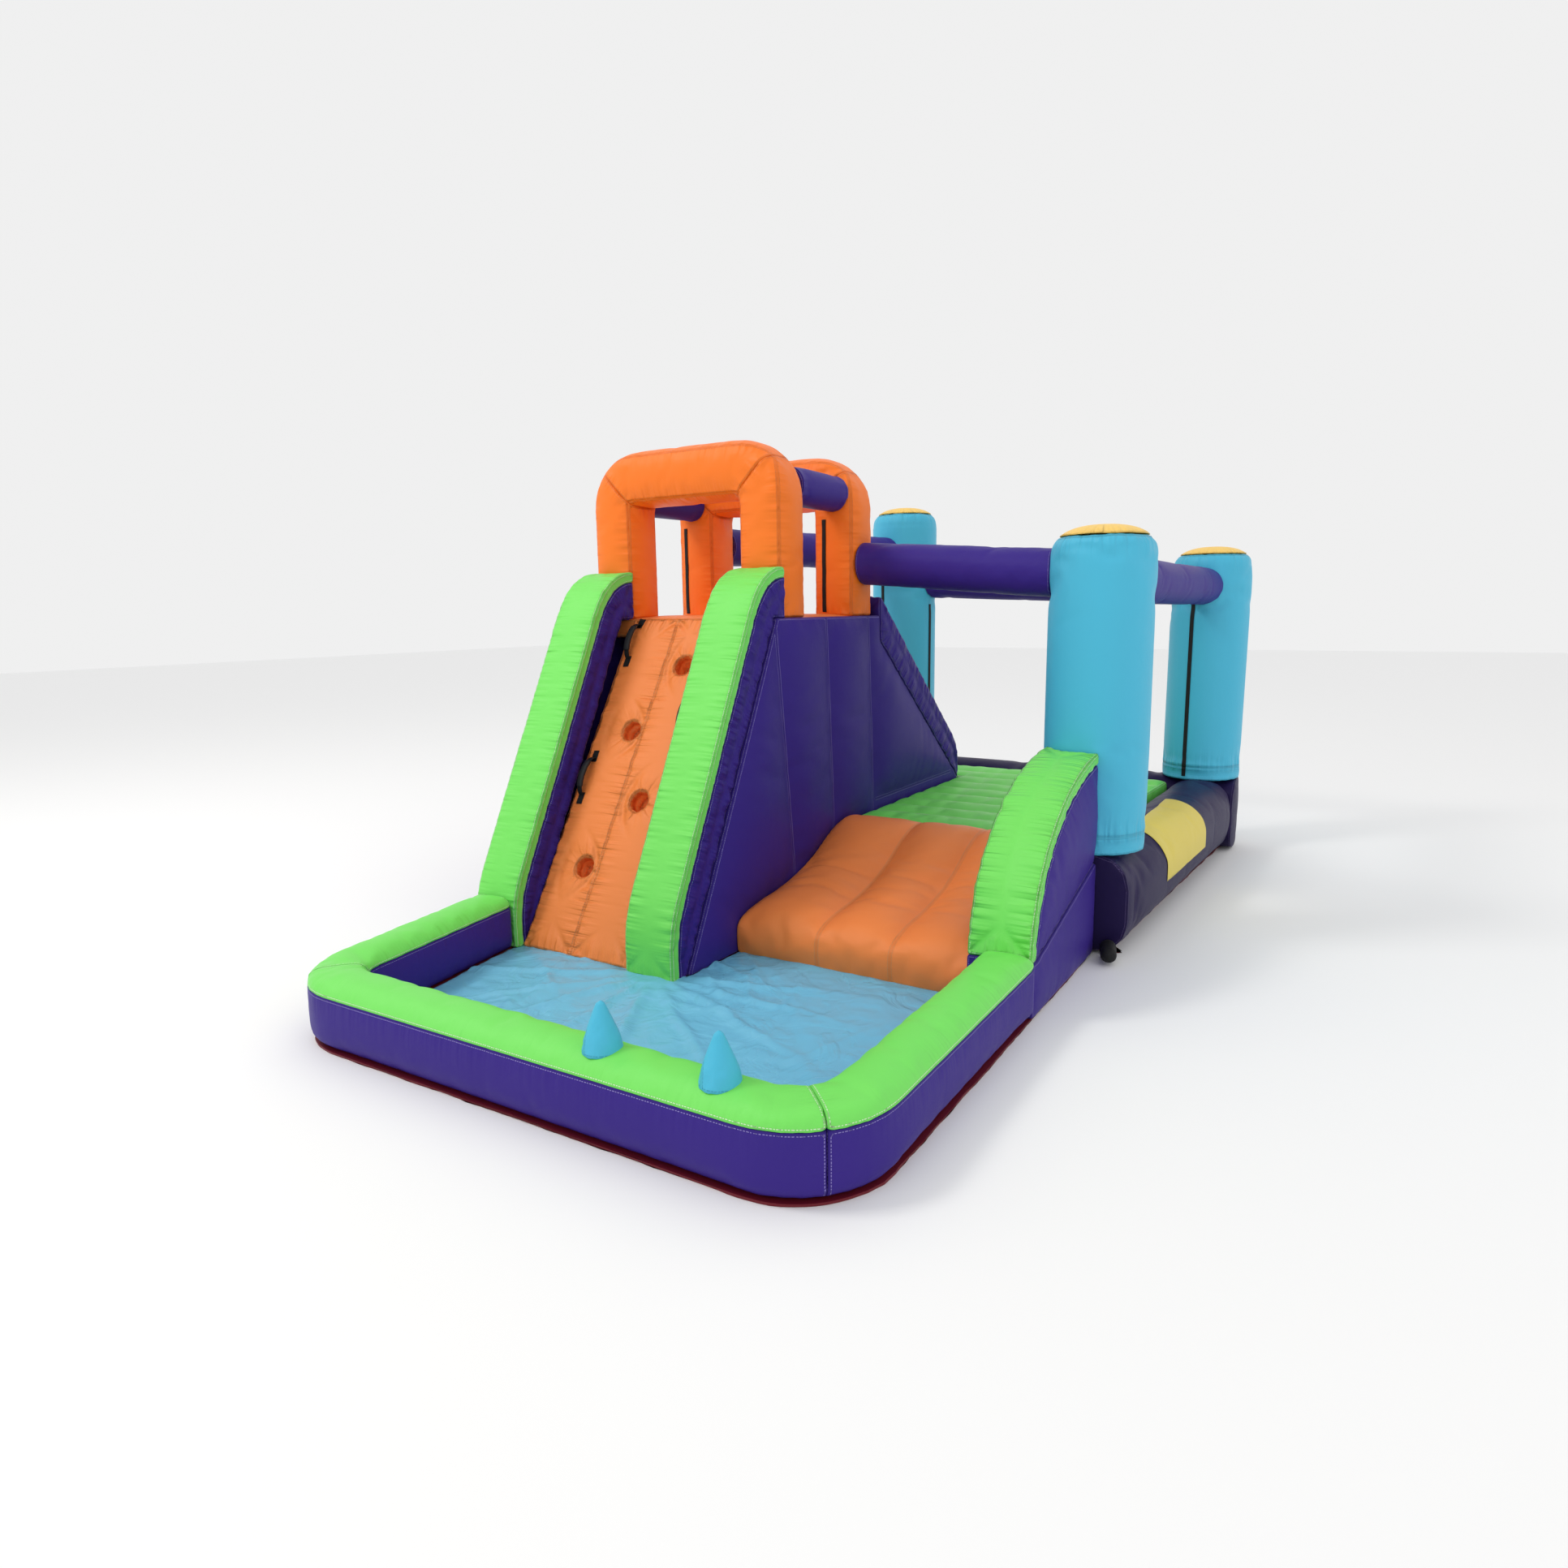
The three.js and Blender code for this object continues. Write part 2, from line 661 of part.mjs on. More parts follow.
// Round tubes: the two short beams between the arches.
const circle = (radius, count = 20) =>
  Array.from({ length: count }, (_, i) => {
    const angle = (2 * Math.PI * i) / count;
    return [radius * Math.cos(angle), radius * Math.sin(angle)];
  });
const ARCH_BEAM_R = 86;
const ARCH_BEAM_Z = 1978;
for (const [side, x] of [
  ["left", ARCH_LEFT + ARCH_HALF],
  ["right", ARCH_RIGHT - ARCH_HALF + 12],
]) {
  const from = new THREE.Vector3(x, PLATFORM_FRONT + ARCH_TUBE + GAP, ARCH_BEAM_Z);
  const to = new THREE.Vector3(x, REAR_ARCH_Y - GAP, ARCH_BEAM_Z);
  const tube = straight(from, to, circle(ARCH_BEAM_R), circle(ARCH_BEAM_R - SHELL));
  add(`arch_beam_${side}`, tube, "purple");
}

// Ramp: three sewn lanes from the pool up to the bounce floor, in one air panel.
function ramp() {
  const front = POOL_BASE + TARP + GAP;
  const shape = new THREE.Shape();
  shape.moveTo(RAMP_FOOT + 8, front);
  shape.quadraticCurveTo(RAMP_FOOT - 12, 90, RAMP_FOOT + 3, 135);
  shape.quadraticCurveTo(RAMP_FOOT + 25, 185, RAMP_FOOT + 285, 205);
  shape.quadraticCurveTo(2010, 235, 2200, 345);
  shape.quadraticCurveTo(2340, 418, 2450, 415);
  shape.quadraticCurveTo(2510, 412, 2540, FLOOR_Z);
  shape.lineTo(2540, FLOOR_Z - 90);
  shape.quadraticCurveTo(2330, 320, 2150, 220);
  shape.quadraticCurveTo(1950, 120, RAMP_FOOT + 90, 105);
  shape.lineTo(RAMP_FOOT + 90, front);
  add("ramp", acrossX(shape, TOWER_RIGHT + 5, RAMP_RIGHT), "panel");
}
ramp();

// Ramp bolster: an arched body and cover that run up from the pool wall to the front post.
const BOLSTER_LEFT = RAMP_RIGHT + 4;
const BOLSTER_RIGHT = 2180;
function rampBolster() {
  const start = POOL_RIGHT_END + 2;
  const end = 2290;
  const postFront = 2198;
  const front = new THREE.Path();
  front.moveTo(start, 208);
  front.bezierCurveTo(1408, 470, 1640, 815, end, 852);
  const points = front.getPoints(14);
  const trim = (list) =>
    list.map((p) => new THREE.Vector2(Math.min(p.x, end), Math.max(p.y, 208)));
  const inner = trim(offsetLine(points, COVER));
  const body = trim(offsetLine(points, COVER + GAP));
  const post = new THREE.CylinderGeometry(POST_R + 1, POST_R + 1, 1600, 40)
    .rotateX(Math.PI / 2)
    .translate(FRONT_RIGHT.x, FRONT_RIGHT.y, 1000);
  const bodyShape = new THREE.Shape([
    ...body,
    new THREE.Vector2(end, WALL_H + 3),
    new THREE.Vector2(postFront, WALL_H + 3),
    new THREE.Vector2(postFront, 396),
    new THREE.Vector2(start + COVER + 22, 214),
  ]);
  const coverShape = new THREE.Shape([...points, ...inner.reverse()]);
  const bodyGeometry = cut(acrossX(bodyShape, BOLSTER_LEFT, BOLSTER_RIGHT), post);
  const coverGeometry = cut(acrossX(coverShape, BOLSTER_LEFT, BOLSTER_RIGHT), post);
  add("ramp_bolster", bodyGeometry, "purple");
  add("ramp_cover", coverGeometry, "green");
  const base = outline([
    [start, POOL_BASE],
    [WALL_FRONT - 5, POOL_BASE],
    [WALL_FRONT - 5, 393],
    [start + COVER, 207],
    [start, 207],
  ]);
  const hollow = outline([
    [start + SHELL, POOL_BASE + SHELL],
    [WALL_FRONT - 5 - SHELL, POOL_BASE + SHELL],
    [WALL_FRONT - 5 - SHELL, 393 - SHELL - 10],
    [start + SHELL, 207 - SHELL],
  ]);
  const vent = acrossX(hollow, BOLSTER_LEFT - 10, SIDE_BASE_RIGHT - SHELL);
  add("ramp_side_wall", cut(acrossX(base, BOLSTER_LEFT, SIDE_BASE_RIGHT), vent), "purple");
}
rampBolster();

// Bounce area: a deep air floor inside three wall tubes, with an inner web under the floor.
const FLOOR_DEPTH = 90;
const FLOOR_FRONT = 2543;
const REAR_INSIDE = REAR_Y - WALL_W / 2;
function bounceFloor() {
  const inside = (y) => wallCentreX(y) - WALL_W / 2 - 2;
  const rear = REAR_INSIDE - GAP;
  const floor = outline([
    [TOWER_RIGHT + 5, FLOOR_FRONT],
    [inside(FLOOR_FRONT), FLOOR_FRONT],
    [inside(rear), rear],
    [CLIMB_LEFT - 10, rear],
    [CLIMB_LEFT - 10, SLIDE_FOOT + 6],
    [TOWER_RIGHT + 5, SLIDE_FOOT + 6],
  ]);
  add("bounce_floor", upward(floor, FLOOR_Z - FLOOR_DEPTH, FLOOR_Z), "green");
  const underside = FLOOR_Z - FLOOR_DEPTH - GAP;
  const web = outline([
    [FLOOR_FRONT + 10, POOL_BASE],
    [rear - 10, POOL_BASE],
    [rear - 10, underside],
    [FLOOR_FRONT + 10, underside],
  ]);
  for (const y of [2900, 3400, 3900]) {
    web.holes.push(new THREE.Path().absarc(y, 155, 60, 0, 2 * Math.PI, true));
  }
  add("floor_web", acrossX(web, 1498, 1502), "white");
}
bounceFloor();

function bounceWalls() {
  const height = WALL_H - POOL_BASE;
  const section = roundedSection(WALL_W, height, WALL_ROUND);
  const inner = roundedSection(WALL_W - 2 * SHELL, height - 2 * SHELL, WALL_ROUND - SHELL);
  const z = POOL_BASE + height / 2;
  const at = (x, y) => new THREE.Vector3(x, y, z);
  const rightEnd = REAR_INSIDE - 10;
  const rightLine = [
    at(wallCentreX(WALL_FRONT), WALL_FRONT + 10),
    at(wallCentreX(rightEnd), rightEnd),
  ];
  const right = straight(...rightLine, section, inner);
  const frontPanel = endPanel(stationsOn(...rightLine), section);
  add("bounce_wall_right", join(right, frontPanel), "dark");
  const rearLine = [at(TOWER_LEFT, REAR_Y), at(REAR_WALL_RIGHT, REAR_Y)];
  const ends = [stationsOn(...rearLine), stationsOn(rearLine[1], rearLine[0])];
  const rear = ends.reduce(
    (tube, stations) => join(tube, endPanel(stations, section)),
    straight(...rearLine, section, inner),
  );
  const vent = box(300, 340, REAR_Y - 20, REAR_Y + 20, 0, POOL_BASE + SHELL + 5);
  const corner = new THREE.Shape();
  corner.moveTo(REAR_WALL_RIGHT - 160, REAR_OUT + 50);
  corner.lineTo(REAR_WALL_RIGHT - 160, REAR_OUT);
  corner.quadraticCurveTo(REAR_WALL_RIGHT, REAR_OUT, REAR_WALL_RIGHT, REAR_OUT - 160);
  corner.lineTo(REAR_WALL_RIGHT + 50, REAR_OUT - 160);
  corner.lineTo(REAR_WALL_RIGHT + 50, REAR_OUT + 50);
  add("bounce_wall_rear", cut(rear, vent, upward(corner, -10, WALL_H + 10)), "dark");
  const leftWidth = CLIMB_LEFT - 12 - TOWER_LEFT;
  const left = straight(
    at(TOWER_LEFT + leftWidth / 2, SLIDE_EDGE[1][0] + 5),
    at(TOWER_LEFT + leftWidth / 2, REAR_INSIDE - GAP),
    roundedSection(leftWidth, height, 90),
    roundedSection(leftWidth - 2 * SHELL, height - 2 * SHELL, 90 - SHELL),
  );
  add("bounce_wall_left", left, "dark");
}
bounceWalls();

// Label panel: a blank sewn patch that wraps from the top of the right wall down its outer side.
function labelPanel() {
  const height = WALL_H - POOL_BASE;
  const band = (proud) => {
    const points = [];
    const reach = WALL_ROUND + proud;
    const cx = WALL_W / 2 - WALL_ROUND;
    const cz = height / 2 - WALL_ROUND;
    points.push([cx - 20, cz + reach]);
    for (let i = 0; i <= 6; i++) {
      const angle = Math.PI / 2 - (Math.PI / 2) * (i / 6);
      points.push([cx + reach * Math.cos(angle), cz + reach * Math.sin(angle)]);
    }
    points.push([cx + reach, cz - 95]);
    return points;
  };
  const thick = 4;
  const lower = band(2);
  const upper = band(2 + thick);
  const z = POOL_BASE + height / 2;
  // Right side of the wall: the section's side axis points left of the path, so it is mirrored.
  const mirror = ([side, up]) => [-side, up];
  const section = [...upper, ...lower.reverse()].map(mirror);
  const shape = outline(section);
  const from = new THREE.Vector3(wallCentreX(2790), 2790, z);
  const to = new THREE.Vector3(wallCentreX(3560), 3560, z);
  const along = to.clone().sub(from);
  const length = along.length();
  along.normalize();
  const side = new THREE.Vector3(0, 0, 1).cross(along).normalize();
  const up = new THREE.Vector3(0, 0, 1);
  const geometry = new THREE.ExtrudeGeometry(shape, { depth: length, bevelEnabled: false });
  geometry.applyMatrix4(new THREE.Matrix4().makeBasis(side, up, along));
  geometry.translate(from.x, from.y, from.z);
  add("label_panel", geometry, "label", 0.5);
}
labelPanel();

// Posts: upright air tubes on the bounce walls, each with a shoulder and a round domed cap.
const lathe = (profile, count) =>
  new THREE.LatheGeometry(
    profile.map(([r, z]) => new THREE.Vector2(r, z)),
    count,
  ).rotateX(Math.PI / 2);

function post(name, centre, top) {
  const foot = WALL_H + GAP;
  const neck = 0.84 * POST_R;
  const tube = [
    [POST_R, foot],
    [POST_R, top - 115],
    [0.965 * POST_R, top - 78],
    [neck, top - 46],
    [neck - SHELL, top - 46],
    [POST_R - SHELL, top - 115],
    [POST_R - SHELL, foot],
    [POST_R, foot],
  ];
  const dome = [
    [0, top - 45],
    [neck, top - 45],
    [0.76 * POST_R, top - 22],
    [0.42 * POST_R, top - 4],
    [0, top],
  ];
  add(`post_${name}`, lathe(tube, 28).translate(centre.x, centre.y, 0), "cyan");
  add(`post_cap_${name}`, lathe(dome, 28).translate(centre.x, centre.y, 0), "yellow");
}
post("front_right", FRONT_RIGHT, POST_TOP);
post("rear_right", REAR_RIGHT, POST_TOP);
post("rear_left", REAR_LEFT, TALL_POST_TOP);

// Beams: round air tubes that tie the rear arch and the three posts together.
function beams() {
  const postCut = (centre) =>
    new THREE.CylinderGeometry(POST_R + 0.6, POST_R + 0.6, 1800, 48)
      .rotateX(Math.PI / 2)
      .translate(centre.x, centre.y, 1400);
  const legCut = box(ARCH_RIGHT - 240, ARCH_RIGHT + 0.6, 2400, 3000, 1200, 2000);
  const tube = (from, to) => straight(from, to, circle(BEAM_R, 24), circle(BEAM_R - SHELL, 24));
  const v = (p, z) => new THREE.Vector3(p.x, p.y, z);
  const rearLeg = new THREE.Vector2(ARCH_RIGHT - 60, REAR_ARCH_Y + ARCH_HALF + 14);
  const legRear = new THREE.Vector2(ARCH_LEFT + ARCH_HALF, PLATFORM_REAR + 2);
  const front = tube(v(rearLeg, 1652), v(FRONT_RIGHT, 1550));
  const right = tube(v(FRONT_RIGHT, 1538), v(REAR_RIGHT, 1526));
  const rear = tube(v(REAR_RIGHT, 1526), v(REAR_LEFT, 1602));
  const left = tube(v(legRear, 1772), v(REAR_LEFT, 1788));
  const legFace = box(ARCH_LEFT - 20, ARCH_LEFT + ARCH_TUBE + 20, 2500, PLATFORM_REAR + 2, 1500, 2000);
  add("beam_front", keepLargest(cut(front, legCut, postCut(FRONT_RIGHT))), "purple");
  add("beam_right", keepLargest(cut(right, postCut(FRONT_RIGHT), postCut(REAR_RIGHT))), "purple");
  add("beam_rear", keepLargest(cut(rear, postCut(REAR_RIGHT), postCut(REAR_LEFT))), "purple");
  add("beam_left", keepLargest(cut(left, legFace, postCut(REAR_LEFT))), "purple");
}

function keepLargest(geometry) {
  const bodies = toSolid(geometry).decompose();
  bodies.sort((a, b) => b.volume() - a.volume());
  return fromSolid(bodies[0]);
}
beams();

// Air sleeve: a short black tube with a closed end, lying on the ground at the front right corner.
function airSleeve() {
  const radius = 33;
  const from = new THREE.Vector3(2250, WALL_FRONT - SHEET_MARGIN - 2, 45);
  const to = new THREE.Vector3(2284, 2070, 42);
  const along = to.clone().sub(from);
  const side = new THREE.Vector3(0, 0, 1).cross(along).normalize();
  const up = along.clone().normalize().cross(side).negate();
  const stations = [];
  for (const [part, size] of [
    [0, 1],
    [0.76, 0.98],
    [0.9, 0.8],
    [0.97, 0.5],
    [1, 0.16],
  ]) {
    stations.push({
      origin: from.clone().addScaledVector(along, part),
      side: side.clone().multiplyScalar(size),
      up: up.clone().multiplyScalar(size),
    });
  }
  add("air_sleeve", sweep(stations, circle(radius, 16)), "webbing", 0.7);
}
airSleeve();

// Handles: webbing loops with a rubber grip, sewn at both ends to the climbing wall.
const HANDLE_HALF = 90;
const HANDLE_RISE = 44;
const HANDLE_AXIS = 11; // the loop bends at this height over the wall
const HANDLES = [
  ["lower_left", 105, 809],
  ["middle_right", 540, 1134],
  ["upper_left", 105, 1497],
];

function handle(name, x, along) {
  const station = (t) => {
    const angle = Math.PI * t;
    const origin = onClimb(
      x,
      along - HANDLE_HALF * Math.cos(angle),
      HANDLE_AXIS + HANDLE_RISE * Math.sin(angle),
    );
    const ahead = CLIMB_ALONG.clone()
      .multiplyScalar(HANDLE_HALF * Math.sin(angle))
      .addScaledVector(CLIMB_OUT, HANDLE_RISE * Math.cos(angle))
      .normalize();
    const side = new THREE.Vector3(1, 0, 0);
    return { origin, side, up: side.clone().cross(ahead) };
  };
  const stations = (from, to, steps) =>
    Array.from({ length: steps + 1 }, (_, i) => station(from + ((to - from) * i) / steps));
  const strap = sweep(stations(0, 1, 14), [
    [12.5, -1.6],
    [12.5, 1.6],
    [-12.5, 1.6],
    [-12.5, -1.6],
  ]);
  const grip = sweep(
    stations(0.27, 0.73, 5),
    roundedSection(31, 17, 8, 3),
    roundedSection(27, 5, 0.6, 3),
  );
  add(`handle_strap_${name}`, strap, "webbing", 0.8);
  add(`handle_grip_${name}`, grip, "rubber", 0.5);
}
HANDLES.forEach((entry) => handle(...entry));

// Deflation zip on the rear wall, with a slider that runs along it.
function zip() {
  const face = REAR_OUT + GAP;
  const x0 = 900;
  const x1 = 1320;
  add("zip_tape", box(x0, x1, face, face + 3, 196, 226), "webbing", 0.8);
  const slider = toSolid(box(x0 + 8, x0 + 26, face + 3.4, face + 11, 204, 218));
  const pull = toSolid(box(x0 + 12, x0 + 22, face + 6, face + 9, 172, 206));
  add("zip_slider", fromSolid(slider.add(pull)), "rubber", 0.35);
}
zip();

// The group stands on the middle of its base.
const bounds = new THREE.Box3().setFromObject(model);
const middle = bounds.getCenter(new THREE.Vector3());
model.position.set(-middle.x, -middle.y, -bounds.min.z);

export default model;
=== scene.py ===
import json
import math

import bmesh
import bpy
import numpy as np
from mathutils import Matrix, Vector, noise
from mathutils.bvhtree import BVHTree
from mathutils.kdtree import KDTree


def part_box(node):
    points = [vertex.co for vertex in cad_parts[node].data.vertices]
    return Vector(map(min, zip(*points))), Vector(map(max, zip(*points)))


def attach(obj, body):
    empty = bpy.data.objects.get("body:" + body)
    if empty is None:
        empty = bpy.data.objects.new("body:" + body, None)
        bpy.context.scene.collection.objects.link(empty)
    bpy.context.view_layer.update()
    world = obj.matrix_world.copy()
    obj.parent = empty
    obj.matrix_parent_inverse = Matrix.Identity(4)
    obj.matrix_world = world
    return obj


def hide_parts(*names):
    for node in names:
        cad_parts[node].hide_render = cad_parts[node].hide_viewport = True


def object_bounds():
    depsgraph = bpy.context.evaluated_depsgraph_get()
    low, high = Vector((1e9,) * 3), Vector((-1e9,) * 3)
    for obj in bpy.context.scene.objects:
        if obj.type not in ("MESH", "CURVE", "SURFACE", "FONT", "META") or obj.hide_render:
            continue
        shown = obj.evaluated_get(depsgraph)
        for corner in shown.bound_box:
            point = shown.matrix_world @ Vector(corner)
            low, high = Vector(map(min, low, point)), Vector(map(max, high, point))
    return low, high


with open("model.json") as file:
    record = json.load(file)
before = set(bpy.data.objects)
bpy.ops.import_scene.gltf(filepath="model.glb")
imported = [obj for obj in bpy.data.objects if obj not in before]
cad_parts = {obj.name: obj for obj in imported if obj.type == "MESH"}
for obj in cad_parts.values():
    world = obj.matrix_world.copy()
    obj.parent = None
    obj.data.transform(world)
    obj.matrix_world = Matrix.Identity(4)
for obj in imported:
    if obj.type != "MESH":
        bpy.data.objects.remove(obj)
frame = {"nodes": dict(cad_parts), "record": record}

cad_low, cad_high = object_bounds()
scene = bpy.context.scene
bpy.ops.object.select_all(action="DESELECT")

# Camera: it stands in front of the pool's right corner, a little under the height of the platform.
# It looks slightly down and along the house, with a wide lens and no shift.
camera_data = bpy.data.cameras.new("photo_camera")
camera_data.sensor_width = 36
camera_data.lens = 22.884
camera_data.clip_end = 60
camera = bpy.data.objects.new("photo_camera", camera_data)
scene.collection.objects.link(camera)
turn_left, look_up, lean = math.radians(31.612), math.radians(-9.928), math.radians(-0.756)
camera.matrix_world = (
    Matrix.Translation(Vector((cad_low.x + 3.3925, cad_low.y - 1.8264, 1.4284)))
    @ Matrix.Rotation(turn_left, 4, "Z")
    @ Matrix.Rotation(math.pi / 2 + look_up, 4, "X")
    @ Matrix.Rotation(lean, 4, "Z")
)
scene.camera = camera

# Studio: a plain pale floor that runs far past the house, under a white surround.
# One broad key light stands high at the front left, with a softer one on the right.
bpy.ops.mesh.primitive_plane_add(size=60, location=(0, 0, -0.0005))
floor = bpy.context.object
floor.name = "studio_floor"
floor_paint = bpy.data.materials.new("studio_floor")
floor_paint.use_nodes = True
floor_shader = floor_paint.node_tree.nodes["Principled BSDF"]
floor_shader.inputs["Base Color"].default_value = (0.93, 0.93, 0.93, 1)
floor_shader.inputs["Roughness"].default_value = 0.9
floor.data.materials.append(floor_paint)

surround = bpy.data.worlds.new("studio_surround")
surround.use_nodes = True
surround.node_tree.nodes["Background"].inputs["Color"].default_value = (1, 1, 1, 1)
surround.node_tree.nodes["Background"].inputs["Strength"].default_value = 0.87
scene.world = surround
scene.view_settings.view_transform = "Standard"


def soft_light(name, place, aim, size, power, colour):
    lamp = bpy.data.lights.new(name, "AREA")
    lamp.size = size
    lamp.energy = power
    lamp.color = colour
    stand = bpy.data.objects.new(name, lamp)
    scene.collection.objects.link(stand)
    stand.location = place
    stand.rotation_mode = "QUATERNION"
    stand.rotation_quaternion = (Vector(aim) - Vector(place)).to_track_quat("-Z", "Y")
    return stand


soft_light("key_light", (-4.5, -4.5, 7.5), (0, 0, 0.6), 2.0, 230, (1, 0.98, 0.94))
soft_light("right_light", (7.5, -3.5, 4.0), (0, 0, 0.8), 4.0, 35, (0.97, 0.98, 1))

# Ground sheet: one sheet of dark red coated cloth under the house, with a doubled hem.
# The hem shows all round the foot of the walls, and ripples where the air pulls it in.
SLOT_COLOURS = {m["slot"]: m["base_color"][:3] for m in frame["record"]["materials"]}


def socket(tree, name, direction, kind="NodeSocketFloat", value=None):
    made = tree.interface.new_socket(name=name, in_out=direction, socket_type=kind)
    if value is not None:
        made.default_value = value
    return made


def weave_group():
    """Height of a square weave, in any direction that the cloth lies."""
    tree = bpy.data.node_groups.new("cloth_weave", "ShaderNodeTree")
    socket(tree, "Threads", "INPUT", value=450.0)
    socket(tree, "Height", "OUTPUT")
    ends = tree.nodes.new("NodeGroupOutput")
    start = tree.nodes.new("NodeGroupInput")
    place = tree.nodes.new("ShaderNodeTexCoord")
    total = None
    for direction in ("X", "Y", "Z"):
        thread = tree.nodes.new("ShaderNodeTexWave")
        thread.wave_type = "BANDS"
        thread.bands_direction = direction
        tree.links.new(place.outputs["Object"], thread.inputs["Vector"])
        tree.links.new(start.outputs["Threads"], thread.inputs["Scale"])
        if total is None:
            total = thread.outputs["Fac"]
        else:
            cross = tree.nodes.new("ShaderNodeMath")
            cross.operation = "ADD"
            tree.links.new(total, cross.inputs[0])
            tree.links.new(thread.outputs["Fac"], cross.inputs[1])
            total = cross.outputs[0]
    tree.links.new(total, ends.inputs["Height"])
    return tree


def wear_group():
    """Soft patches where the cloth is handled, and small creases that stay in the coating."""
    tree = bpy.data.node_groups.new("cloth_wear", "ShaderNodeTree")
    socket(tree, "Patch Size", "INPUT", value=3.0)
    socket(tree, "Crease Size", "INPUT", value=5.0)
    socket(tree, "Patches", "OUTPUT")
    socket(tree, "Creases", "OUTPUT")
    ends = tree.nodes.new("NodeGroupOutput")
    start = tree.nodes.new("NodeGroupInput")
    place = tree.nodes.new("ShaderNodeTexCoord")
    patches = tree.nodes.new("ShaderNodeTexNoise")
    patches.inputs["Detail"].default_value = 4
    tree.links.new(place.outputs["Object"], patches.inputs["Vector"])
    tree.links.new(start.outputs["Patch Size"], patches.inputs["Scale"])
    tree.links.new(patches.outputs["Fac"], ends.inputs["Patches"])
    creases = tree.nodes.new("ShaderNodeTexNoise")
    creases.inputs["Detail"].default_value = 3
    creases.inputs["Distortion"].default_value = 1.4
    tree.links.new(place.outputs["Object"], creases.inputs["Vector"])
    tree.links.new(start.outputs["Crease Size"], creases.inputs["Scale"])
    fold = tree.nodes.new("ShaderNodeMapRange")
    fold.interpolation_type = "SMOOTHSTEP"
    fold.inputs["From Min"].default_value = 0.42
    fold.inputs["From Max"].default_value = 0.62
    tree.links.new(creases.outputs["Fac"], fold.inputs["Value"])
    tree.links.new(fold.outputs["Result"], ends.inputs["Creases"])
    return tree


def seam_group():
    """A band along each seam, where the cloth is drawn darker and raised, a row of stitches beside it, and gathers
    square to it.
    """
    tree = bpy.data.node_groups.new("sewn_seam", "ShaderNodeTree")
    socket(tree, "Stitch Row", "INPUT", value=0.008)
    socket(tree, "Gathers per Metre", "INPUT", value=42.0)
    socket(tree, "Seam Band", "OUTPUT")
    socket(tree, "Stitches", "OUTPUT")
    socket(tree, "Gathers", "OUTPUT")
    ends = tree.nodes.new("NodeGroupOutput")
    start = tree.nodes.new("NodeGroupInput")

    def attribute(name):
        node = tree.nodes.new("ShaderNodeAttribute")
        node.attribute_name = name
        return node

    def arithmetic(operation, first, second):
        node = tree.nodes.new("ShaderNodeMath")
        node.operation = operation
        for place, value in enumerate((first, second)):
            if isinstance(value, (int, float)):
                node.inputs[place].default_value = value
            else:
                tree.links.new(value, node.inputs[place])
        return node

    away = attribute("from_seam").outputs["Fac"]
    seam_band = tree.nodes.new("ShaderNodeMapRange")
    seam_band.interpolation_type = "SMOOTHSTEP"
    seam_band.inputs["From Min"].default_value = 0.002
    seam_band.inputs["From Max"].default_value = 0.014
    seam_band.inputs["To Min"].default_value = 1
    seam_band.inputs["To Max"].default_value = 0
    tree.links.new(away, seam_band.inputs["Value"])
    tree.links.new(seam_band.outputs["Result"], ends.inputs["Seam Band"])
    row = arithmetic("COMPARE", away, start.outputs["Stitch Row"])
    row.inputs[2].default_value = 0.0012
    swing = arithmetic("SINE", arithmetic("MULTIPLY", attribute("along_seam").outputs["Fac"], 700.0).outputs[0], 0)
    dashes = arithmetic("GREATER_THAN", swing.outputs[0], -0.4)
    both = arithmetic("MULTIPLY", row.outputs[0], dashes.outputs[0])
    tree.links.new(both.outputs[0], ends.inputs["Stitches"])
    pleats = tree.nodes.new("ShaderNodeTexNoise")
    pleats.inputs["Detail"].default_value = 1
    tree.links.new(attribute("seam_point").outputs["Vector"], pleats.inputs["Vector"])
    tree.links.new(start.outputs["Gathers per Metre"], pleats.inputs["Scale"])
    gathered = arithmetic("MULTIPLY", pleats.outputs["Fac"], attribute("gather").outputs["Fac"])
    tree.links.new(gathered.outputs[0], ends.inputs["Gathers"])
    return tree


WEAVE = weave_group()
WEAR = wear_group()
SEAM = seam_group()


def use_group(tree, group):
    node = tree.nodes.new("ShaderNodeGroup")
    node.node_tree = group
    return node


def mixed_colour(tree, amount, first, second, share=1.0):
    """first where amount is 0, second where it is 1."""
    mix = tree.nodes.new("ShaderNodeMix")
    mix.data_type = "RGBA"
    scaled = tree.nodes.new("ShaderNodeMath")
    scaled.operation = "MULTIPLY"
    scaled.inputs[1].default_value = share
    tree.links.new(amount, scaled.inputs[0])
    tree.links.new(scaled.outputs[0], mix.inputs["Factor"])
    for place, value in ((6, first), (7, second)):
        if isinstance(value, (tuple, list)):
            mix.inputs[place].default_value = (*value[:3], 1)
        else:
            tree.links.new(value, mix.inputs[place])
    return mix.outputs[2]


def added_height(tree, parts):
    total = None
    for output, size in parts:
        part = tree.nodes.new("ShaderNodeMath")
        part.operation = "MULTIPLY"
        part.inputs[1].default_value = size
        tree.links.new(output, part.inputs[0])
        if total is None:
            total = part.outputs[0]
            continue
        both = tree.nodes.new("ShaderNodeMath")
        both.operation = "ADD"
        tree.links.new(total, both.inputs[0])
        tree.links.new(part.outputs[0], both.inputs[1])
        total = both.outputs[0]
    return total


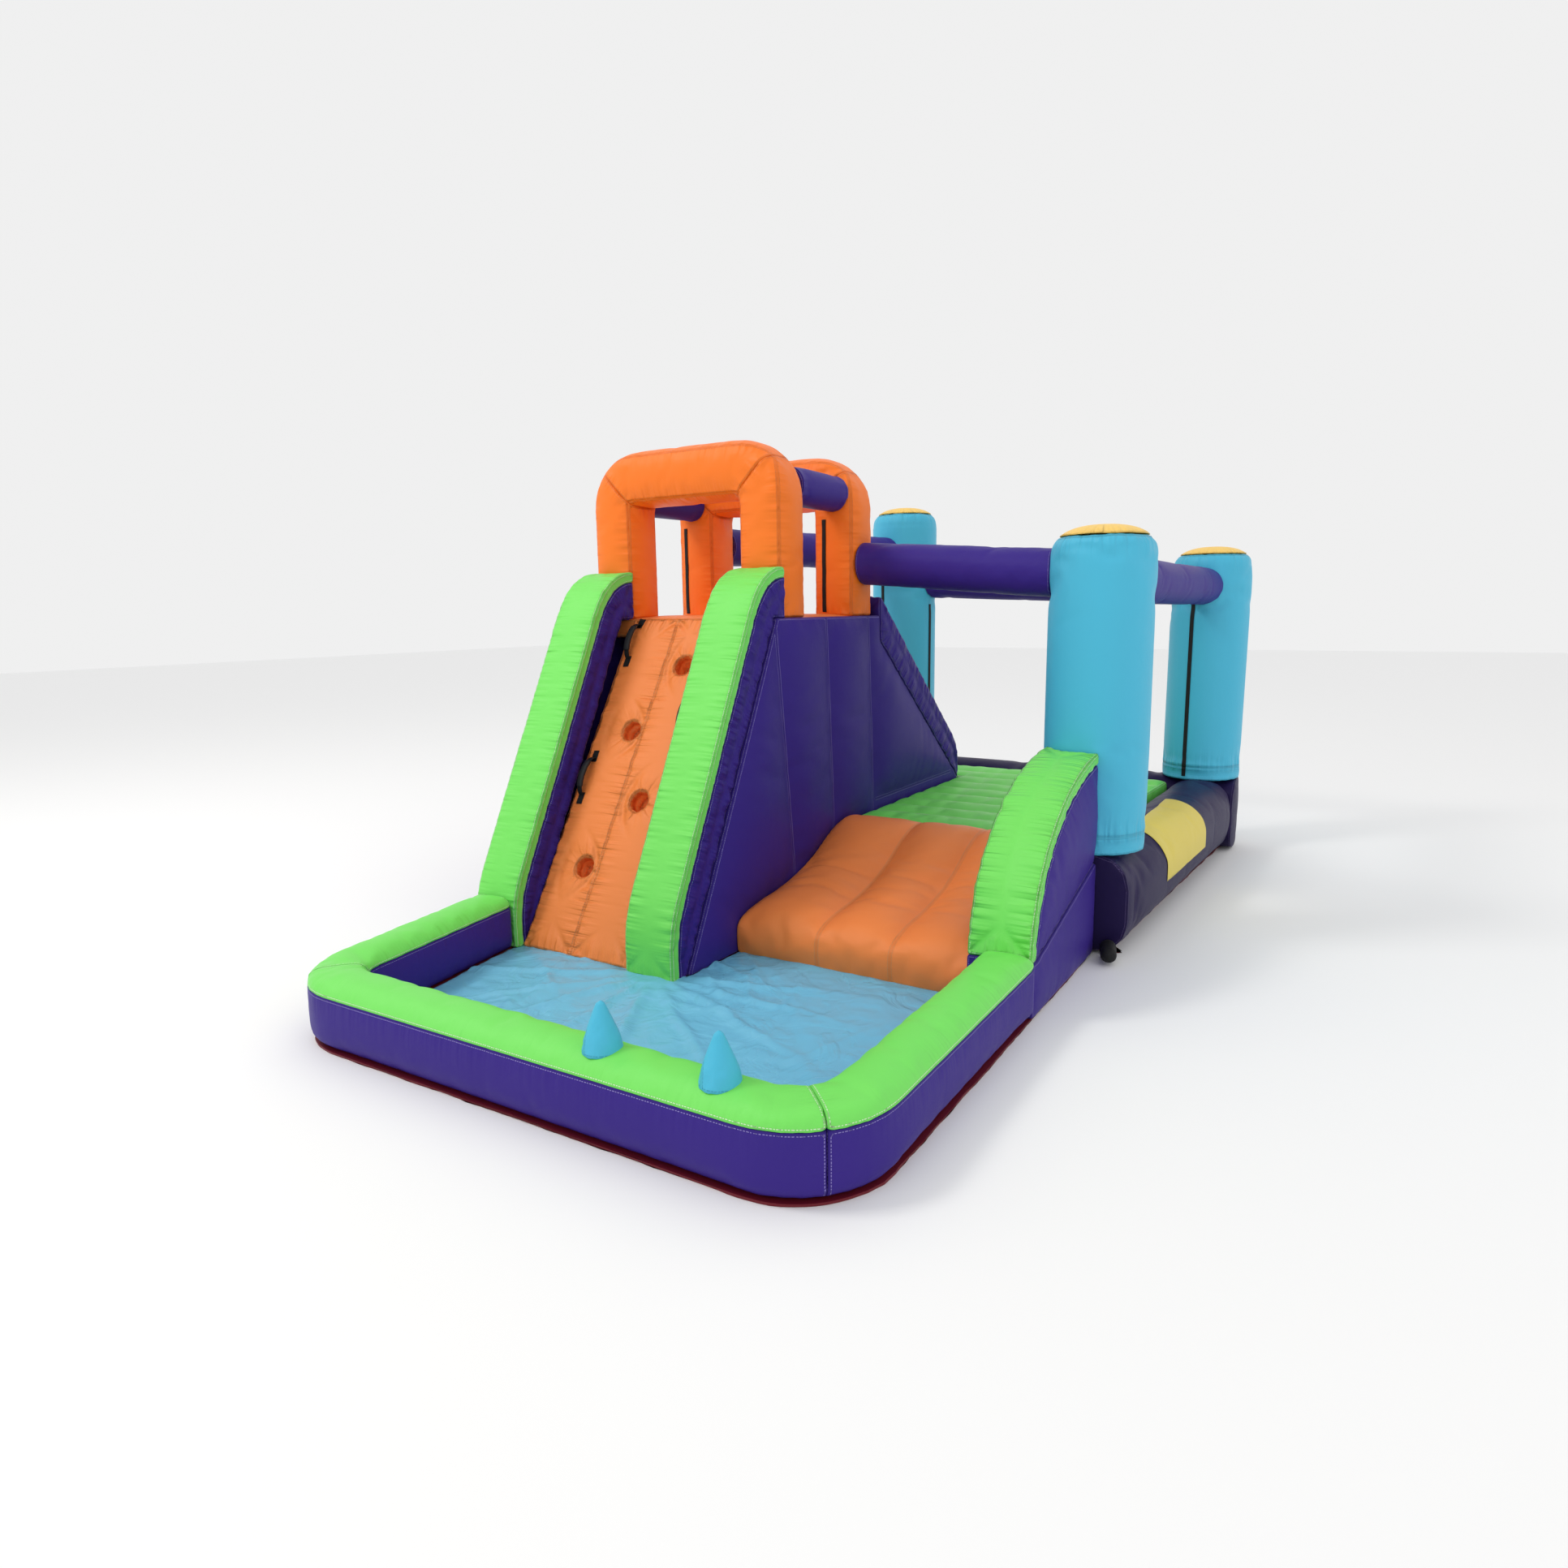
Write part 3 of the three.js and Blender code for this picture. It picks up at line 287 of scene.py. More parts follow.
def coated_cloth(
    name,
    colour,
    thread,
    gloss=0.42,
    creases=0.0003,
    shine=0.32,
    patches=0.12,
    # how much darker the cloth is drawn in the band along each seam
    seam_band=0.35,
    stitch=0.85,
):
    material = bpy.data.materials.new(name)
    material.use_nodes = True
    tree = material.node_tree
    shader = tree.nodes["Principled BSDF"]
    weave, wear, seam = (use_group(tree, g) for g in (WEAVE, WEAR, SEAM))
    darker = tuple(c * 0.7 for c in colour)
    worn = mixed_colour(tree, wear.outputs["Patches"], colour, darker, patches)
    # The cloth is drawn darker in a band along each seam.
    seam_darkened = mixed_colour(tree, seam.outputs["Seam Band"], worn, tuple(c * 0.6 for c in colour), seam_band)
    stitched = mixed_colour(tree, seam.outputs["Stitches"], seam_darkened, thread, stitch)
    tree.links.new(stitched, shader.inputs["Base Color"])
    rough = tree.nodes.new("ShaderNodeMapRange")
    rough.inputs["To Min"].default_value = gloss - 0.05
    rough.inputs["To Max"].default_value = gloss + 0.09
    tree.links.new(wear.outputs["Patches"], rough.inputs["Value"])
    tree.links.new(rough.outputs["Result"], shader.inputs["Roughness"])
    shader.inputs["Specular IOR Level"].default_value = shine
    bump = tree.nodes.new("ShaderNodeBump")
    bump.inputs["Distance"].default_value = 1.0
    bump.inputs["Strength"].default_value = 1.0
    height = added_height(
        tree,
        [
            (weave.outputs["Height"], 0.00005),
            (wear.outputs["Creases"], creases),
            (seam.outputs["Gathers"], 0.02),
            (seam.outputs["Seam Band"], 0.0008),
            (seam.outputs["Stitches"], 0.0005),
        ],
    )
    tree.links.new(height, bump.inputs["Height"])
    tree.links.new(bump.outputs["Normal"], shader.inputs["Normal"])
    return material


def finish(piece, slot, material, *nodes, body="house", fill=None):
    """The piece gets its cloth, stands for its CAD nodes and moves with its body."""
    piece.data.materials.clear()
    piece.data.materials.append(material)
    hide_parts(*nodes)
    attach(piece, body)
    return piece


def only_select(piece):
    bpy.ops.object.select_all(action="DESELECT")
    piece.select_set(True)
    bpy.context.view_layer.objects.active = piece


def rounded_coordinates(piece):
    flat = np.zeros(len(piece.data.vertices) * 3)
    piece.data.vertices.foreach_get("co", flat)
    return flat.reshape(-1, 3)


def set_coordinates(piece, points):
    piece.data.vertices.foreach_set("co", points.ravel())
    piece.data.update()


def merged_copy(name, node):
    source = frame["nodes"][node]
    piece = bpy.data.objects.new(name, source.data.copy())
    piece.data.materials.clear()
    scene.collection.objects.link(piece)
    made = bmesh.new()
    made.from_mesh(piece.data)
    bmesh.ops.remove_doubles(made, verts=made.verts, dist=1e-5)
    bmesh.ops.dissolve_limit(made, angle_limit=0.02, verts=made.verts, edges=made.edges)
    made.to_mesh(piece.data)
    made.free()
    return piece


RED_CLOTH = coated_cloth("red_cloth", SLOT_COLOURS["red_sheet"], (0.02, 0.02, 0.03))
HEM_PULL = 0.021  # the air draws the hem in under the walls
HEM_PULL_RIGHT = 0.085  # more beside the right wall, which is rounder
sheet_low, sheet_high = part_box("ground_sheet")
right_wall_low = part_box("bounce_wall_right")[0]
hem = merged_copy("ground_sheet_cloth", "ground_sheet")
hem_shape = bmesh.new()
hem_shape.from_mesh(hem.data)
level_edges = [
    e
    for e in hem_shape.edges
    if e.calc_length() > 0.05 and abs(e.verts[0].co.z - e.verts[1].co.z) < 1e-5
]
for edge in level_edges:
    bmesh.ops.subdivide_edges(hem_shape, edges=[edge], cuts=int(edge.calc_length() / 0.03))
hem_shape.normal_update()
for corner in hem_shape.verts:
    out = Vector((corner.normal.x, corner.normal.y, 0)).normalized()
    ripple = noise.noise(corner.co * 8.0) * 0.006 + noise.noise(corner.co * 25.0) * 0.003
    beside_wall = corner.co.x > right_wall_low.x + 0.1 and corner.co.y > right_wall_low.y - 0.05
    corner.co -= out * ((HEM_PULL_RIGHT if beside_wall else HEM_PULL) + ripple)
hem_shape.to_mesh(hem.data)
hem_area = max(f.calc_area() for f in hem_shape.faces)
hem_shape.free()
finish(hem, "red_sheet", RED_CLOTH, "ground_sheet")

# Pool floor: a loose sheet of light blue coated cloth, sewn in under the pool wall.
# It lies slack on the ground sheet, with a few long folds that run out from the foot of the
# tower and many small creases from its packing.
BLUE_CLOTH = coated_cloth(
    "blue_cloth", SLOT_COLOURS["blue_sheet"], (0.75, 0.8, 0.7), gloss=0.24, creases=0.004
)
TARP_GRID = 0.013
tarp_low, tarp_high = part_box("pool_floor")
tarp = merged_copy("pool_floor_cloth", "pool_floor")
tarp_shape = bmesh.new()
tarp_shape.from_mesh(tarp.data)
under = [f for f in tarp_shape.faces if f.normal.z < 0.9]
bmesh.ops.delete(tarp_shape, geom=under, context="FACES")
rim_edges = [e for e in tarp_shape.edges if e.is_boundary]
apron = bmesh.ops.extrude_edge_only(tarp_shape, edges=rim_edges)["geom"]
tarp_shape.normal_update()
middle = (tarp_low + tarp_high) / 2
for corner in (g for g in apron if isinstance(g, bmesh.types.BMVert)):
    away = Vector((corner.co.x - middle.x, corner.co.y - middle.y, 0)).normalized()
    corner.co += away * 0.016 - Vector((0, 0, 0.0025))
for axis, low, high in ((0, tarp_low.x, tarp_high.x), (1, tarp_low.y, tarp_high.y)):
    across = Vector((1, 0, 0)) if axis == 0 else Vector((0, 1, 0))
    for i in range(1, int((high - low) / TARP_GRID)):
        everything = tarp_shape.verts[:] + tarp_shape.edges[:] + tarp_shape.faces[:]
        cut = across * (low + i * TARP_GRID)
        bmesh.ops.bisect_plane(tarp_shape, geom=everything, plane_co=cut, plane_no=across)
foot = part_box("climb_bolster_right")[0]
folds = []
for i, (heading, reach, height, width) in enumerate(
    (
        (-2.75, 1.0, 0.014, 0.022),
        (-2.3, 0.8, 0.010, 0.016),
        (-1.95, 0.9, 0.016, 0.02),
        (-1.5, 0.7, 0.012, 0.017),
        (-1.1, 1.1, 0.018, 0.024),
        (-0.72, 1.2, 0.012, 0.018),
        (-0.38, 1.0, 0.016, 0.022),
        (-0.05, 0.9, 0.010, 0.016),
        (0.2, 0.7, 0.012, 0.02),
    )
):
    folds.append((foot.x + 0.12, foot.y - 0.01, heading, reach, height, width))
for i in range(26):
    spot = Vector((i * 0.618034 % 1, i * 0.754878 % 1, i * 0.381966 % 1))
    folds.append(
        (
            tarp_low.x + spot.x * (tarp_high.x - tarp_low.x),
            tarp_low.y + spot.y * (tarp_high.y - tarp_low.y),
            spot.z * 6.283,
            0.25 + 0.3 * spot.x,
            0.005 + 0.006 * spot.y,
            0.010 + 0.008 * spot.z,
        )
    )
for corner in tarp_shape.verts:
    lift = 0.0
    here = corner.co
    for x, y, heading, reach, height, width in folds:
        dx, dy = here.x - x, here.y - y
        along = dx * math.cos(heading) + dy * math.sin(heading)
        if not 0.0 < along < reach:
            continue
        bend = 0.03 * noise.noise(Vector((along * 3, heading * 5, 0.5)))
        across = -dx * math.sin(heading) + dy * math.cos(heading) - bend * along / reach * 2
        if abs(across) > 3 * width:
            continue
        swell = math.sin(math.pi * along / reach) ** 0.6
        lift += height * swell * math.exp(-((across / width) ** 2))
    slack = (1 - abs(noise.noise(Vector((here.x * 3.1, here.y * 3.9, 0.3))))) ** 6 * 0.007
    crumple = (1 - abs(noise.noise(Vector((here.x * 9, here.y * 11, 1.1))))) ** 5 * 0.004
    corner.co.z += (lift + slack + crumple) if here.z > tarp_high.z - 0.0005 else 0.0
tarp_shape.to_mesh(tarp.data)
tarp_area = sum(f.calc_area() for f in tarp_shape.faces)
tarp_shape.free()
only_select(tarp)
thickness = tarp.modifiers.new("thickness", "SOLIDIFY")
thickness.thickness = 0.001
thickness.offset = 1
bpy.ops.object.modifier_apply(modifier="thickness")
bpy.ops.object.shade_smooth()
finish(tarp, "blue_sheet", BLUE_CLOTH, "pool_floor")

# Pool wall: a U of air tube, sewn from a purple skirt and a green cover and mitred at the corners.
# Every air-filled piece of the house is blown up here in the same way: the cloth is held at its
# seams and where it meets a neighbour, and air pressure pushes slightly loose cloth out between.
node_shapes = {
    n: ([v.co.copy() for v in o.data.vertices], [tuple(p.vertices) for p in o.data.polygons])
    for n, o in frame["nodes"].items()
}
LOOSE_PARTS = ("handle", "tower_web", "floor_web", "label", "zip", "air_sleeve", "spray")


def neighbours_of(node):
    points, faces = [], []
    for name, (verts, polygons) in node_shapes.items():
        if name == node or name.startswith(LOOSE_PARTS):
            continue
        start = len(points)
        points += verts
        faces += [tuple(i + start for i in p) for p in polygons]
    return BVHTree.FromPolygons(points, faces)


def without_inside(piece, bore):
    """Only the outer skin of a tube that CAD drew with a hollow of this width."""
    made = bmesh.new()
    made.from_mesh(piece.data)
    made.normal_update()
    tree = BVHTree.FromBMesh(made)
    inner = [
        f
        for f in made.faces
        if tree.ray_cast(f.calc_center_median() + f.normal * 1e-4, f.normal, bore)[0] is not None
    ]
    bmesh.ops.delete(made, geom=inner, context="FACES")
    seen, largest = set(), []
    for face in made.faces:
        if face in seen:
            continue
        island, waiting = [], [face]
        seen.add(face)
        while waiting:
            current = waiting.pop()
            island.append(current)
            for edge in current.edges:
                for other in edge.link_faces:
                    if other not in seen:
                        seen.add(other)
                        waiting.append(other)
        if len(island) > len(largest):
            largest = island
    keep = set(largest)
    bmesh.ops.delete(made, geom=[f for f in made.faces if f not in keep], context="FACES")
    bmesh.ops.holes_fill(made, edges=made.edges, sides=0)
    bmesh.ops.recalc_face_normals(made, faces=made.faces)
    bmesh.ops.dissolve_limit(made, angle_limit=0.02, verts=made.verts, edges=made.edges)
    made.to_mesh(piece.data)
    made.free()


SEAM_STEP = 0.004


def sewn_edges(piece, sharper_than=0.9):
    """Points along the piece's sharp edges, each with its run along the seam."""
    made = bmesh.new()
    made.from_mesh(piece.data)
    found = []
    for edge in made.edges:
        if len(edge.link_faces) == 2 and edge.calc_face_angle(0) > sharper_than:
            a, b = (v.co.copy() for v in edge.verts)
            count = max(1, int((b - a).length / SEAM_STEP))
            along = (b - a).normalized()
            for i in range(count + 1):
                spot = a.lerp(b, i / count)
                found.append((spot, spot.dot(along)))
    made.free()
    return found


def straight_seam(start, end, towards):
    """Rays that chalk a seam on a piece: a line from start to end, seen along one direction."""
    start, end = Vector(start), Vector(end)
    count = max(1, int((end - start).length / SEAM_STEP))
    return [(start.lerp(end, i / count), Vector(towards).normalized()) for i in range(count + 1)]


def ring_seam(centre, radius):
    """Rays that chalk a level seam right round an upright piece."""
    count = int(2 * math.pi * radius / SEAM_STEP)
    rays = []
    for i in range(count):
        out = Vector((math.cos(2 * math.pi * i / count), math.sin(2 * math.pi * i / count), 0))
        rays.append((Vector(centre) + out * radius, -out))
    return rays


def box_section_seams(node, axis, trim=0.0):
    """Four seams along the corners of a square air tube that runs along one axis."""
    low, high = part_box(node)
    middle = (low + high) / 2
    first, second = (i for i in range(3) if i != axis)
    rays = []
    for a in (-1, 1):
        for b in (-1, 1):
            out = Vector((0, 0, 0))
            out[first], out[second] = a, b
            start, end = middle + out * 0.4, middle + out * 0.4
            start[axis], end[axis] = low[axis] + trim, high[axis] - trim
            rays += straight_seam(start, end, -out)
    return rays


def blow_up(
    name,
    node,
    bore=0.0,
    voxel=0.02,
    slack=0.012,
    air=5.0,
    steps=12,
    reach=0.03,
    seams=(),
    gather=0.5,
    gather_width=0.05,
    fold=0.002,
    calm=3,
    held_near=0.014,
):
    piece = merged_copy(name, node)
    if bore:
        without_inside(piece, bore)
    samples = sewn_edges(piece)
    if seams:
        skin = BVHTree.FromPolygons(
            [v.co.copy() for v in piece.data.vertices],
            [tuple(p.vertices) for p in piece.data.polygons],
        )
        for i, (start, towards) in enumerate(seams):
            spot = skin.ray_cast(start, towards)[0]
            if spot is not None:
                samples.append((spot, i * SEAM_STEP))
    near_seam = KDTree(len(samples))
    for i, (spot, _) in enumerate(samples):
        near_seam.insert(spot, i)
    near_seam.balance()
    only_select(piece)
    piece.data.remesh_voxel_size = voxel
    bpy.ops.object.voxel_remesh()
    neighbours = neighbours_of(node)
    rest = rounded_coordinates(piece)
    normals = np.zeros(rest.size)
    piece.data.vertices.foreach_get("normal", normals)
    normals = normals.reshape(-1, 3)
    held = []
    for i, spot in enumerate(rest):
        seam_spot, _, away = near_seam.find(spot)
        outward = Vector(normals[i])
        if away < 0.72 * voxel:
            rest[i] = 0.2 * spot + 0.8 * np.array(seam_spot)
            held.append(i)
        elif neighbours.ray_cast(Vector(spot) - outward * 0.004, outward, held_near)[0] is not None:
            held.append(i)
    set_coordinates(piece, rest)
    group = piece.vertex_groups.new(name="held")
    group.add(held, 1.0, "REPLACE")
    inflate = piece.modifiers.new("inflate", "CLOTH")
    cloth = inflate.settings
    cloth.quality = 3
    cloth.mass = 0.2
    cloth.tension_stiffness = 30
    cloth.compression_stiffness = 30
    cloth.shear_stiffness = 12
    cloth.bending_stiffness = 0.15
    cloth.tension_damping = 10
    cloth.compression_damping = 10
    cloth.shear_damping = 10
    cloth.air_damping = 4
    cloth.use_pressure = True
    cloth.uniform_pressure_force = air
    cloth.shrink_min = -slack
    cloth.vertex_group_mass = "held"
    cloth.pin_stiffness = 1
    cloth.effector_weights.gravity = 0
    inflate.collision_settings.use_collision = False
    inflate.point_cache.frame_start = 1
    inflate.point_cache.frame_end = steps
    for step in range(1, steps + 1):
        scene.frame_set(step)
    bpy.ops.object.modifier_apply(modifier="inflate")
    scene.frame_set(1)
    if calm:
        smooth = piece.modifiers.new("calm", "SMOOTH")
        smooth.factor = 0.5
        smooth.iterations = calm
        smooth.vertex_group = "held"
        smooth.invert_vertex_group = True
        bpy.ops.object.modifier_apply(modifier="calm")
    piece.vertex_groups.clear()
    moved = rounded_coordinates(piece) - rest
    length = np.maximum(np.linalg.norm(moved, axis=1), 1e-9)
    softened = reach * np.tanh(length / reach)
    set_coordinates(piece, rest + moved * (softened / length)[:, None])
    finer = piece.modifiers.new("finer", "SUBSURF")
    finer.levels = finer.render_levels = 1
    bpy.ops.object.modifier_apply(modifier="finer")
    points = rounded_coordinates(piece)
    normals = np.zeros(points.size)
    piece.data.vertices.foreach_get("normal", normals)
    normals = normals.reshape(-1, 3)
    away, run, waves = np.zeros(len(points)), np.zeros(len(points)), np.zeros(len(points))
    seam_points = np.zeros((len(points), 3))
    for i, spot in enumerate(points):
        seam_spot, found, away[i] = near_seam.find(spot)
        run[i] = samples[found][1]
        seam_points[i] = seam_spot
        if away[i] < 4 * gather_width:
            waves[i] = noise.noise(seam_spot * 19) + 0.9 * noise.noise(seam_spot * 37)
    rise = np.clip(away / 0.012, 0, 1) ** 0.7
    fade = rise * np.exp(-away / gather_width) * np.clip(1.6 - away / gather_width / 2, 0, 1)
    pairs = np.zeros(2 * len(piece.data.edges), dtype=np.int32)
    piece.data.edges.foreach_get("vertices", pairs)
    one, other = pairs.reshape(-1, 2).T
    stray = np.linalg.norm(seam_points[one] - seam_points[other], axis=1) > 0.03
    between = np.zeros(len(points), dtype=bool)  # halfway between two seams
    between[one[stray]] = between[other[stray]] = True
    share = np.where(between, 0.0, 1.0)
    links = np.maximum(np.bincount(pairs, minlength=len(points)), 1)
    for _ in range(5):
        total = np.bincount(one, share[other], len(points)) + np.bincount(
            other, share[one], len(points)
        )
        share = np.where(between, 0.0, total / links)
    fade *= np.clip(share, 0, 1) ** 1.5
    points += normals * (fold * waves * fade)[:, None]
    points[:, 2] = np.maximum(points[:, 2], sheet_high.z + 0.0004)
    set_coordinates(piece, points)
    for label, values in (("from_seam", away), ("along_seam", run), ("gather", gather * fade)):
        layer = piece.data.attributes.new(label, "FLOAT", "POINT")
        layer.data.foreach_set("value", values.astype(np.float32))
    layer = piece.data.attributes.new("seam_point", "FLOAT_VECTOR", "POINT")
    layer.data.foreach_set("vector", seam_points.ravel().astype(np.float32))
    only_select(piece)
    bpy.ops.object.shade_smooth()
    return piece


PURPLE_CLOTH = coated_cloth(
    "purple_cloth", SLOT_COLOURS["purple_panel"], (0.3, 0.25, 0.6), gloss=0.4, shine=0.09
)
GREEN_CLOTH = coated_cloth("green_cloth", SLOT_COLOURS["green_cover"], (0.75, 0.9, 0.65))
for side in ("left", "front", "right"):
    skirt = blow_up(
        f"pool_skirt_{side}_air", f"pool_skirt_{side}", bore=0.2, slack=0.008, reach=0.012, gather=0.3
    )
    finish(skirt, "purple_panel", PURPLE_CLOTH, f"pool_skirt_{side}", fill=0.9)
    cover = blow_up(
        f"pool_cover_{side}_air", f"pool_cover_{side}", slack=0.02, reach=0.02, gather=0.35, fold=0.0015
    )
    finish(cover, "green_cover", GREEN_CLOTH, f"pool_cover_{side}", fill=0.9)

# Spray cones: two small soft cones of light blue cloth over the spray holes of the front wall.
# Each is rolled from one piece of cloth and sewn down round its foot.
POST_CLOTH = coated_cloth("post_cloth", SLOT_COLOURS["cyan_post"], (0.04, 0.32, 0.5))
for side in ("left", "right"):
    low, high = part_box(f"spray_cone_{side}")
    cone = blow_up(
        f"spray_cone_{side}_air",
        f"spray_cone_{side}",
        voxel=0.007,
        slack=0.02,
        reach=0.006,
        seams=straight_seam((high.x, low.y - 0.2, low.z), (high.x, low.y - 0.2, high.z), (-0.4, 1, 0)),
        gather=0.3,
        gather_width=0.02,
        fold=0.001,
    )
    finish(cone, "cyan_post", POST_CLOTH, f"spray_cone_{side}", fill=0.8)

# Climbing wall: a sloped panel of orange cloth with a seam down the middle.
# Four round pockets are sewn into it for the feet, and the cloth gathers round each rim.
PANEL_CLOTH = coated_cloth("panel_cloth", SLOT_COLOURS["orange_panel"], (0.7, 0.3, 0.12))
climb_low, climb_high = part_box("climbing_wall")
climb_middle = climb_low.x + 0.268
climbing_wall = blow_up(
    "climbing_wall_air",
    "climbing_wall",
    voxel=0.013,
    slack=0.012,
    reach=0.02,
    seams=straight_seam(
        (climb_middle, climb_low.y + 0.01, 2.4), (climb_middle, climb_high.y - 0.01, 2.4), (0, 0, -1)
    ),
    gather=1.6,
    gather_width=0.05,
    fold=0.007,
    calm=1,
)
slope = math.atan2(climb_high.z - climb_low.z, climb_high.y - climb_low.y - 0.01)
points = rounded_coordinates(climbing_wall)
height = points[:, 2] * math.cos(slope) - points[:, 1] * math.sin(slope)
lane_face = np.percentile(height, 97) - 0.012
normals = np.zeros(points.size)
climbing_wall.data.vertices.foreach_get("normal", normals)
normals = normals.reshape(-1, 3)
facing = normals[:, 2] * math.cos(slope) - normals[:, 1] * math.sin(slope)
beside = np.minimum(points[:, 0] - climb_low.x, climb_high.x - points[:, 0])
EDGE_BAND = 0.075  # the edge of the lane is drawn up against each bolster
lift = np.where((beside < EDGE_BAND) & (facing > 0.05), np.maximum(lane_face - 0.01 - height, 0), 0)
lift = np.minimum(lift, 0.06) * np.clip((EDGE_BAND - beside) / 0.02, 0, 1)
points[:, 2] += lift * math.cos(slope)
points[:, 1] -= lift * math.sin(slope)
set_coordinates(climbing_wall, points)
finish(climbing_wall, "orange_panel", PANEL_CLOTH, "climbing_wall", fill=0.9)

# Climbing bolsters: a tall purple air wall on each side of the lane, with a green cover sewn
# along its front edge. The purple sides wrinkle across, and the cover gathers at its seams.
for side in ("left", "right"):
    wall = blow_up(
        f"climb_bolster_{side}_air",
        f"climb_bolster_{side}",
        voxel=0.017,
        slack=0.02,
        reach=0.03,
        gather=1.6,
        gather_width=0.09,
        fold=0.009,
        calm=1,
    )
    finish(wall, "purple_panel", PURPLE_CLOTH, f"climb_bolster_{side}", fill=0.85)
    cover = blow_up(
        f"climb_cover_{side}_air",
        f"climb_cover_{side}",
        voxel=0.015,
        slack=0.02,
        reach=0.014,
        gather=1.1,
        gather_width=0.05,
        fold=0.004,
        calm=1,
    )
    finish(cover, "green_cover", GREEN_CLOTH, f"climb_cover_{side}", fill=0.9)

# Tower sides: one big purple panel on each side, drawn in by upright seams over the inner webs.
# The seams lean back a little, and the last panel is held down along the bounce floor.
for side, outside_x, towards in (("left", -3.0, (1, 0, 0)), ("right", 3.0, (-1, 0, 0))):
    low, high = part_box(f"tower_side_{side}")
    panel_seams = []
    for top, foot_run in ((0.666, 0.832), (1.111, 1.198), (1.542, 1.621)):
        panel_seams += straight_seam(
            (outside_x, low.y + top, high.z - 0.01),
            (outside_x, low.y + foot_run, low.z + 0.01),
            towards,
        )
    above_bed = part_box("bounce_floor")[1].z + 0.055
    panel_seams += straight_seam(
        (outside_x, low.y + 1.63, above_bed), (outside_x, high.y - 0.12, above_bed), towards
    )
    panel = blow_up(
        f"tower_side_{side}_air",
        f"tower_side_{side}",
        voxel=0.021,
        slack=0.025,
        air=8,
        reach=0.06,
        seams=panel_seams,
        gather=0.1,
        gather_width=0.06,
        fold=0.001,
        calm=8,
    )
    finish(panel, "purple_panel", PURPLE_CLOTH, f"tower_side_{side}", fill=0.8)

# Platform: the flat air panel between the arches, in orange cloth.
# Children step over it from the climbing wall to the slide.
platform = blow_up("platform_air", "platform", voxel=0.024, slack=0.01, reach=0.015)
finish(platform, "orange_panel", PANEL_CLOTH, "platform", fill=0.9)

# Slide: a smooth orange bed between two purple bolsters, with one seam down the middle.
# The bolsters are tall bags of cloth, so they wrinkle along both of their long seams.
slide_low, slide_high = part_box("slide_bed")
slide_middle = (slide_low.x + slide_high.x) / 2
slide_bed = blow_up(
    "slide_bed_air",
    "slide_bed",
    voxel=0.022,
    slack=0.012,
    seams=straight_seam(
        (slide_middle, slide_low.y, 2.4), (slide_middle, slide_high.y, 2.4), (0, 0, -1)
    ),
)
finish(slide_bed, "orange_panel", PANEL_CLOTH, "slide_bed", fill=0.9)
for side in ("left", "right"):
    bolster = blow_up(
        f"slide_bolster_{side}_air",
        f"slide_bolster_{side}",
        voxel=0.02,
        slack=0.022,
        reach=0.035,
        gather=1.6,
        gather_width=0.09,
        fold=0.009,
        calm=1,
    )
    finish(bolster, "purple_panel", PURPLE_CLOTH, f"slide_bolster_{side}", fill=0.8)

# Arches: square air tubes of orange cloth at both ends of the platform, mitred at the corners.
# Four panels are sewn into each tube, and they pucker on the outside of each mitre.
ARCH_CLOTH = coated_cloth("arch_cloth", SLOT_COLOURS["orange_arch"], (0.65, 0.15, 0.03))
arch_legs = {}
for arch in ("front_arch", "rear_arch"):
    for part, axis in (("leg_left", 2), ("top", 0), ("leg_right", 2)):
        tube = blow_up(
            f"{arch}_{part}_air",
            f"{arch}_{part}",
            bore=0.3,
            voxel=0.018,
            slack=0.012,
            reach=0.022,
            seams=box_section_seams(f"{arch}_{part}", axis),
            gather=0.8,
            gather_width=0.04,
            fold=0.0035,
        )
        finish(tube, "orange_arch", ARCH_CLOTH, f"{arch}_{part}", fill=0.95)
        arch_legs[f"{arch}_{part}"] = tube

# Arch beams: two short round tubes of purple cloth between the arches.
# They keep the arches apart at head height.
for side in ("left", "right"):
    tube = blow_up(f"arch_beam_{side}_air", f"arch_beam_{side}", bore=0.2, slack=0.01, reach=0.012)
    finish(tube, "purple_panel", PURPLE_CLOTH, f"arch_beam_{side}", fill=0.95)

# Ramp: an orange air panel with three crowned lanes that meet in two sewn valleys.
# Its front stands upright in the pool, and its crest meets the bounce floor.
ramp_low, ramp_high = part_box("ramp")
lane_seams = []
for valley in (0.382, 0.703):
    valley_x = ramp_low.x + valley
    lane_seams += straight_seam(
        (valley_x, ramp_low.y + 0.01, 2.0), (valley_x, ramp_high.y - 0.01, 2.0), (0, 0, -1)
    )
    lane_seams += straight_seam(
        (valley_x, ramp_low.y - 0.5, 0.02), (valley_x, ramp_low.y - 0.5, 0.2), (0, 1, 0)
    )
ramp = blow_up(
    "ramp_air",
    "ramp",
    voxel=0.018,
    slack=0.055,
    air=14,
    reach=0.09,
    seams=lane_seams,
    gather=0.1,
    fold=0.0,
    calm=7,
)
finish(ramp, "orange_panel", PANEL_CLOTH, "ramp", fill=0.9)

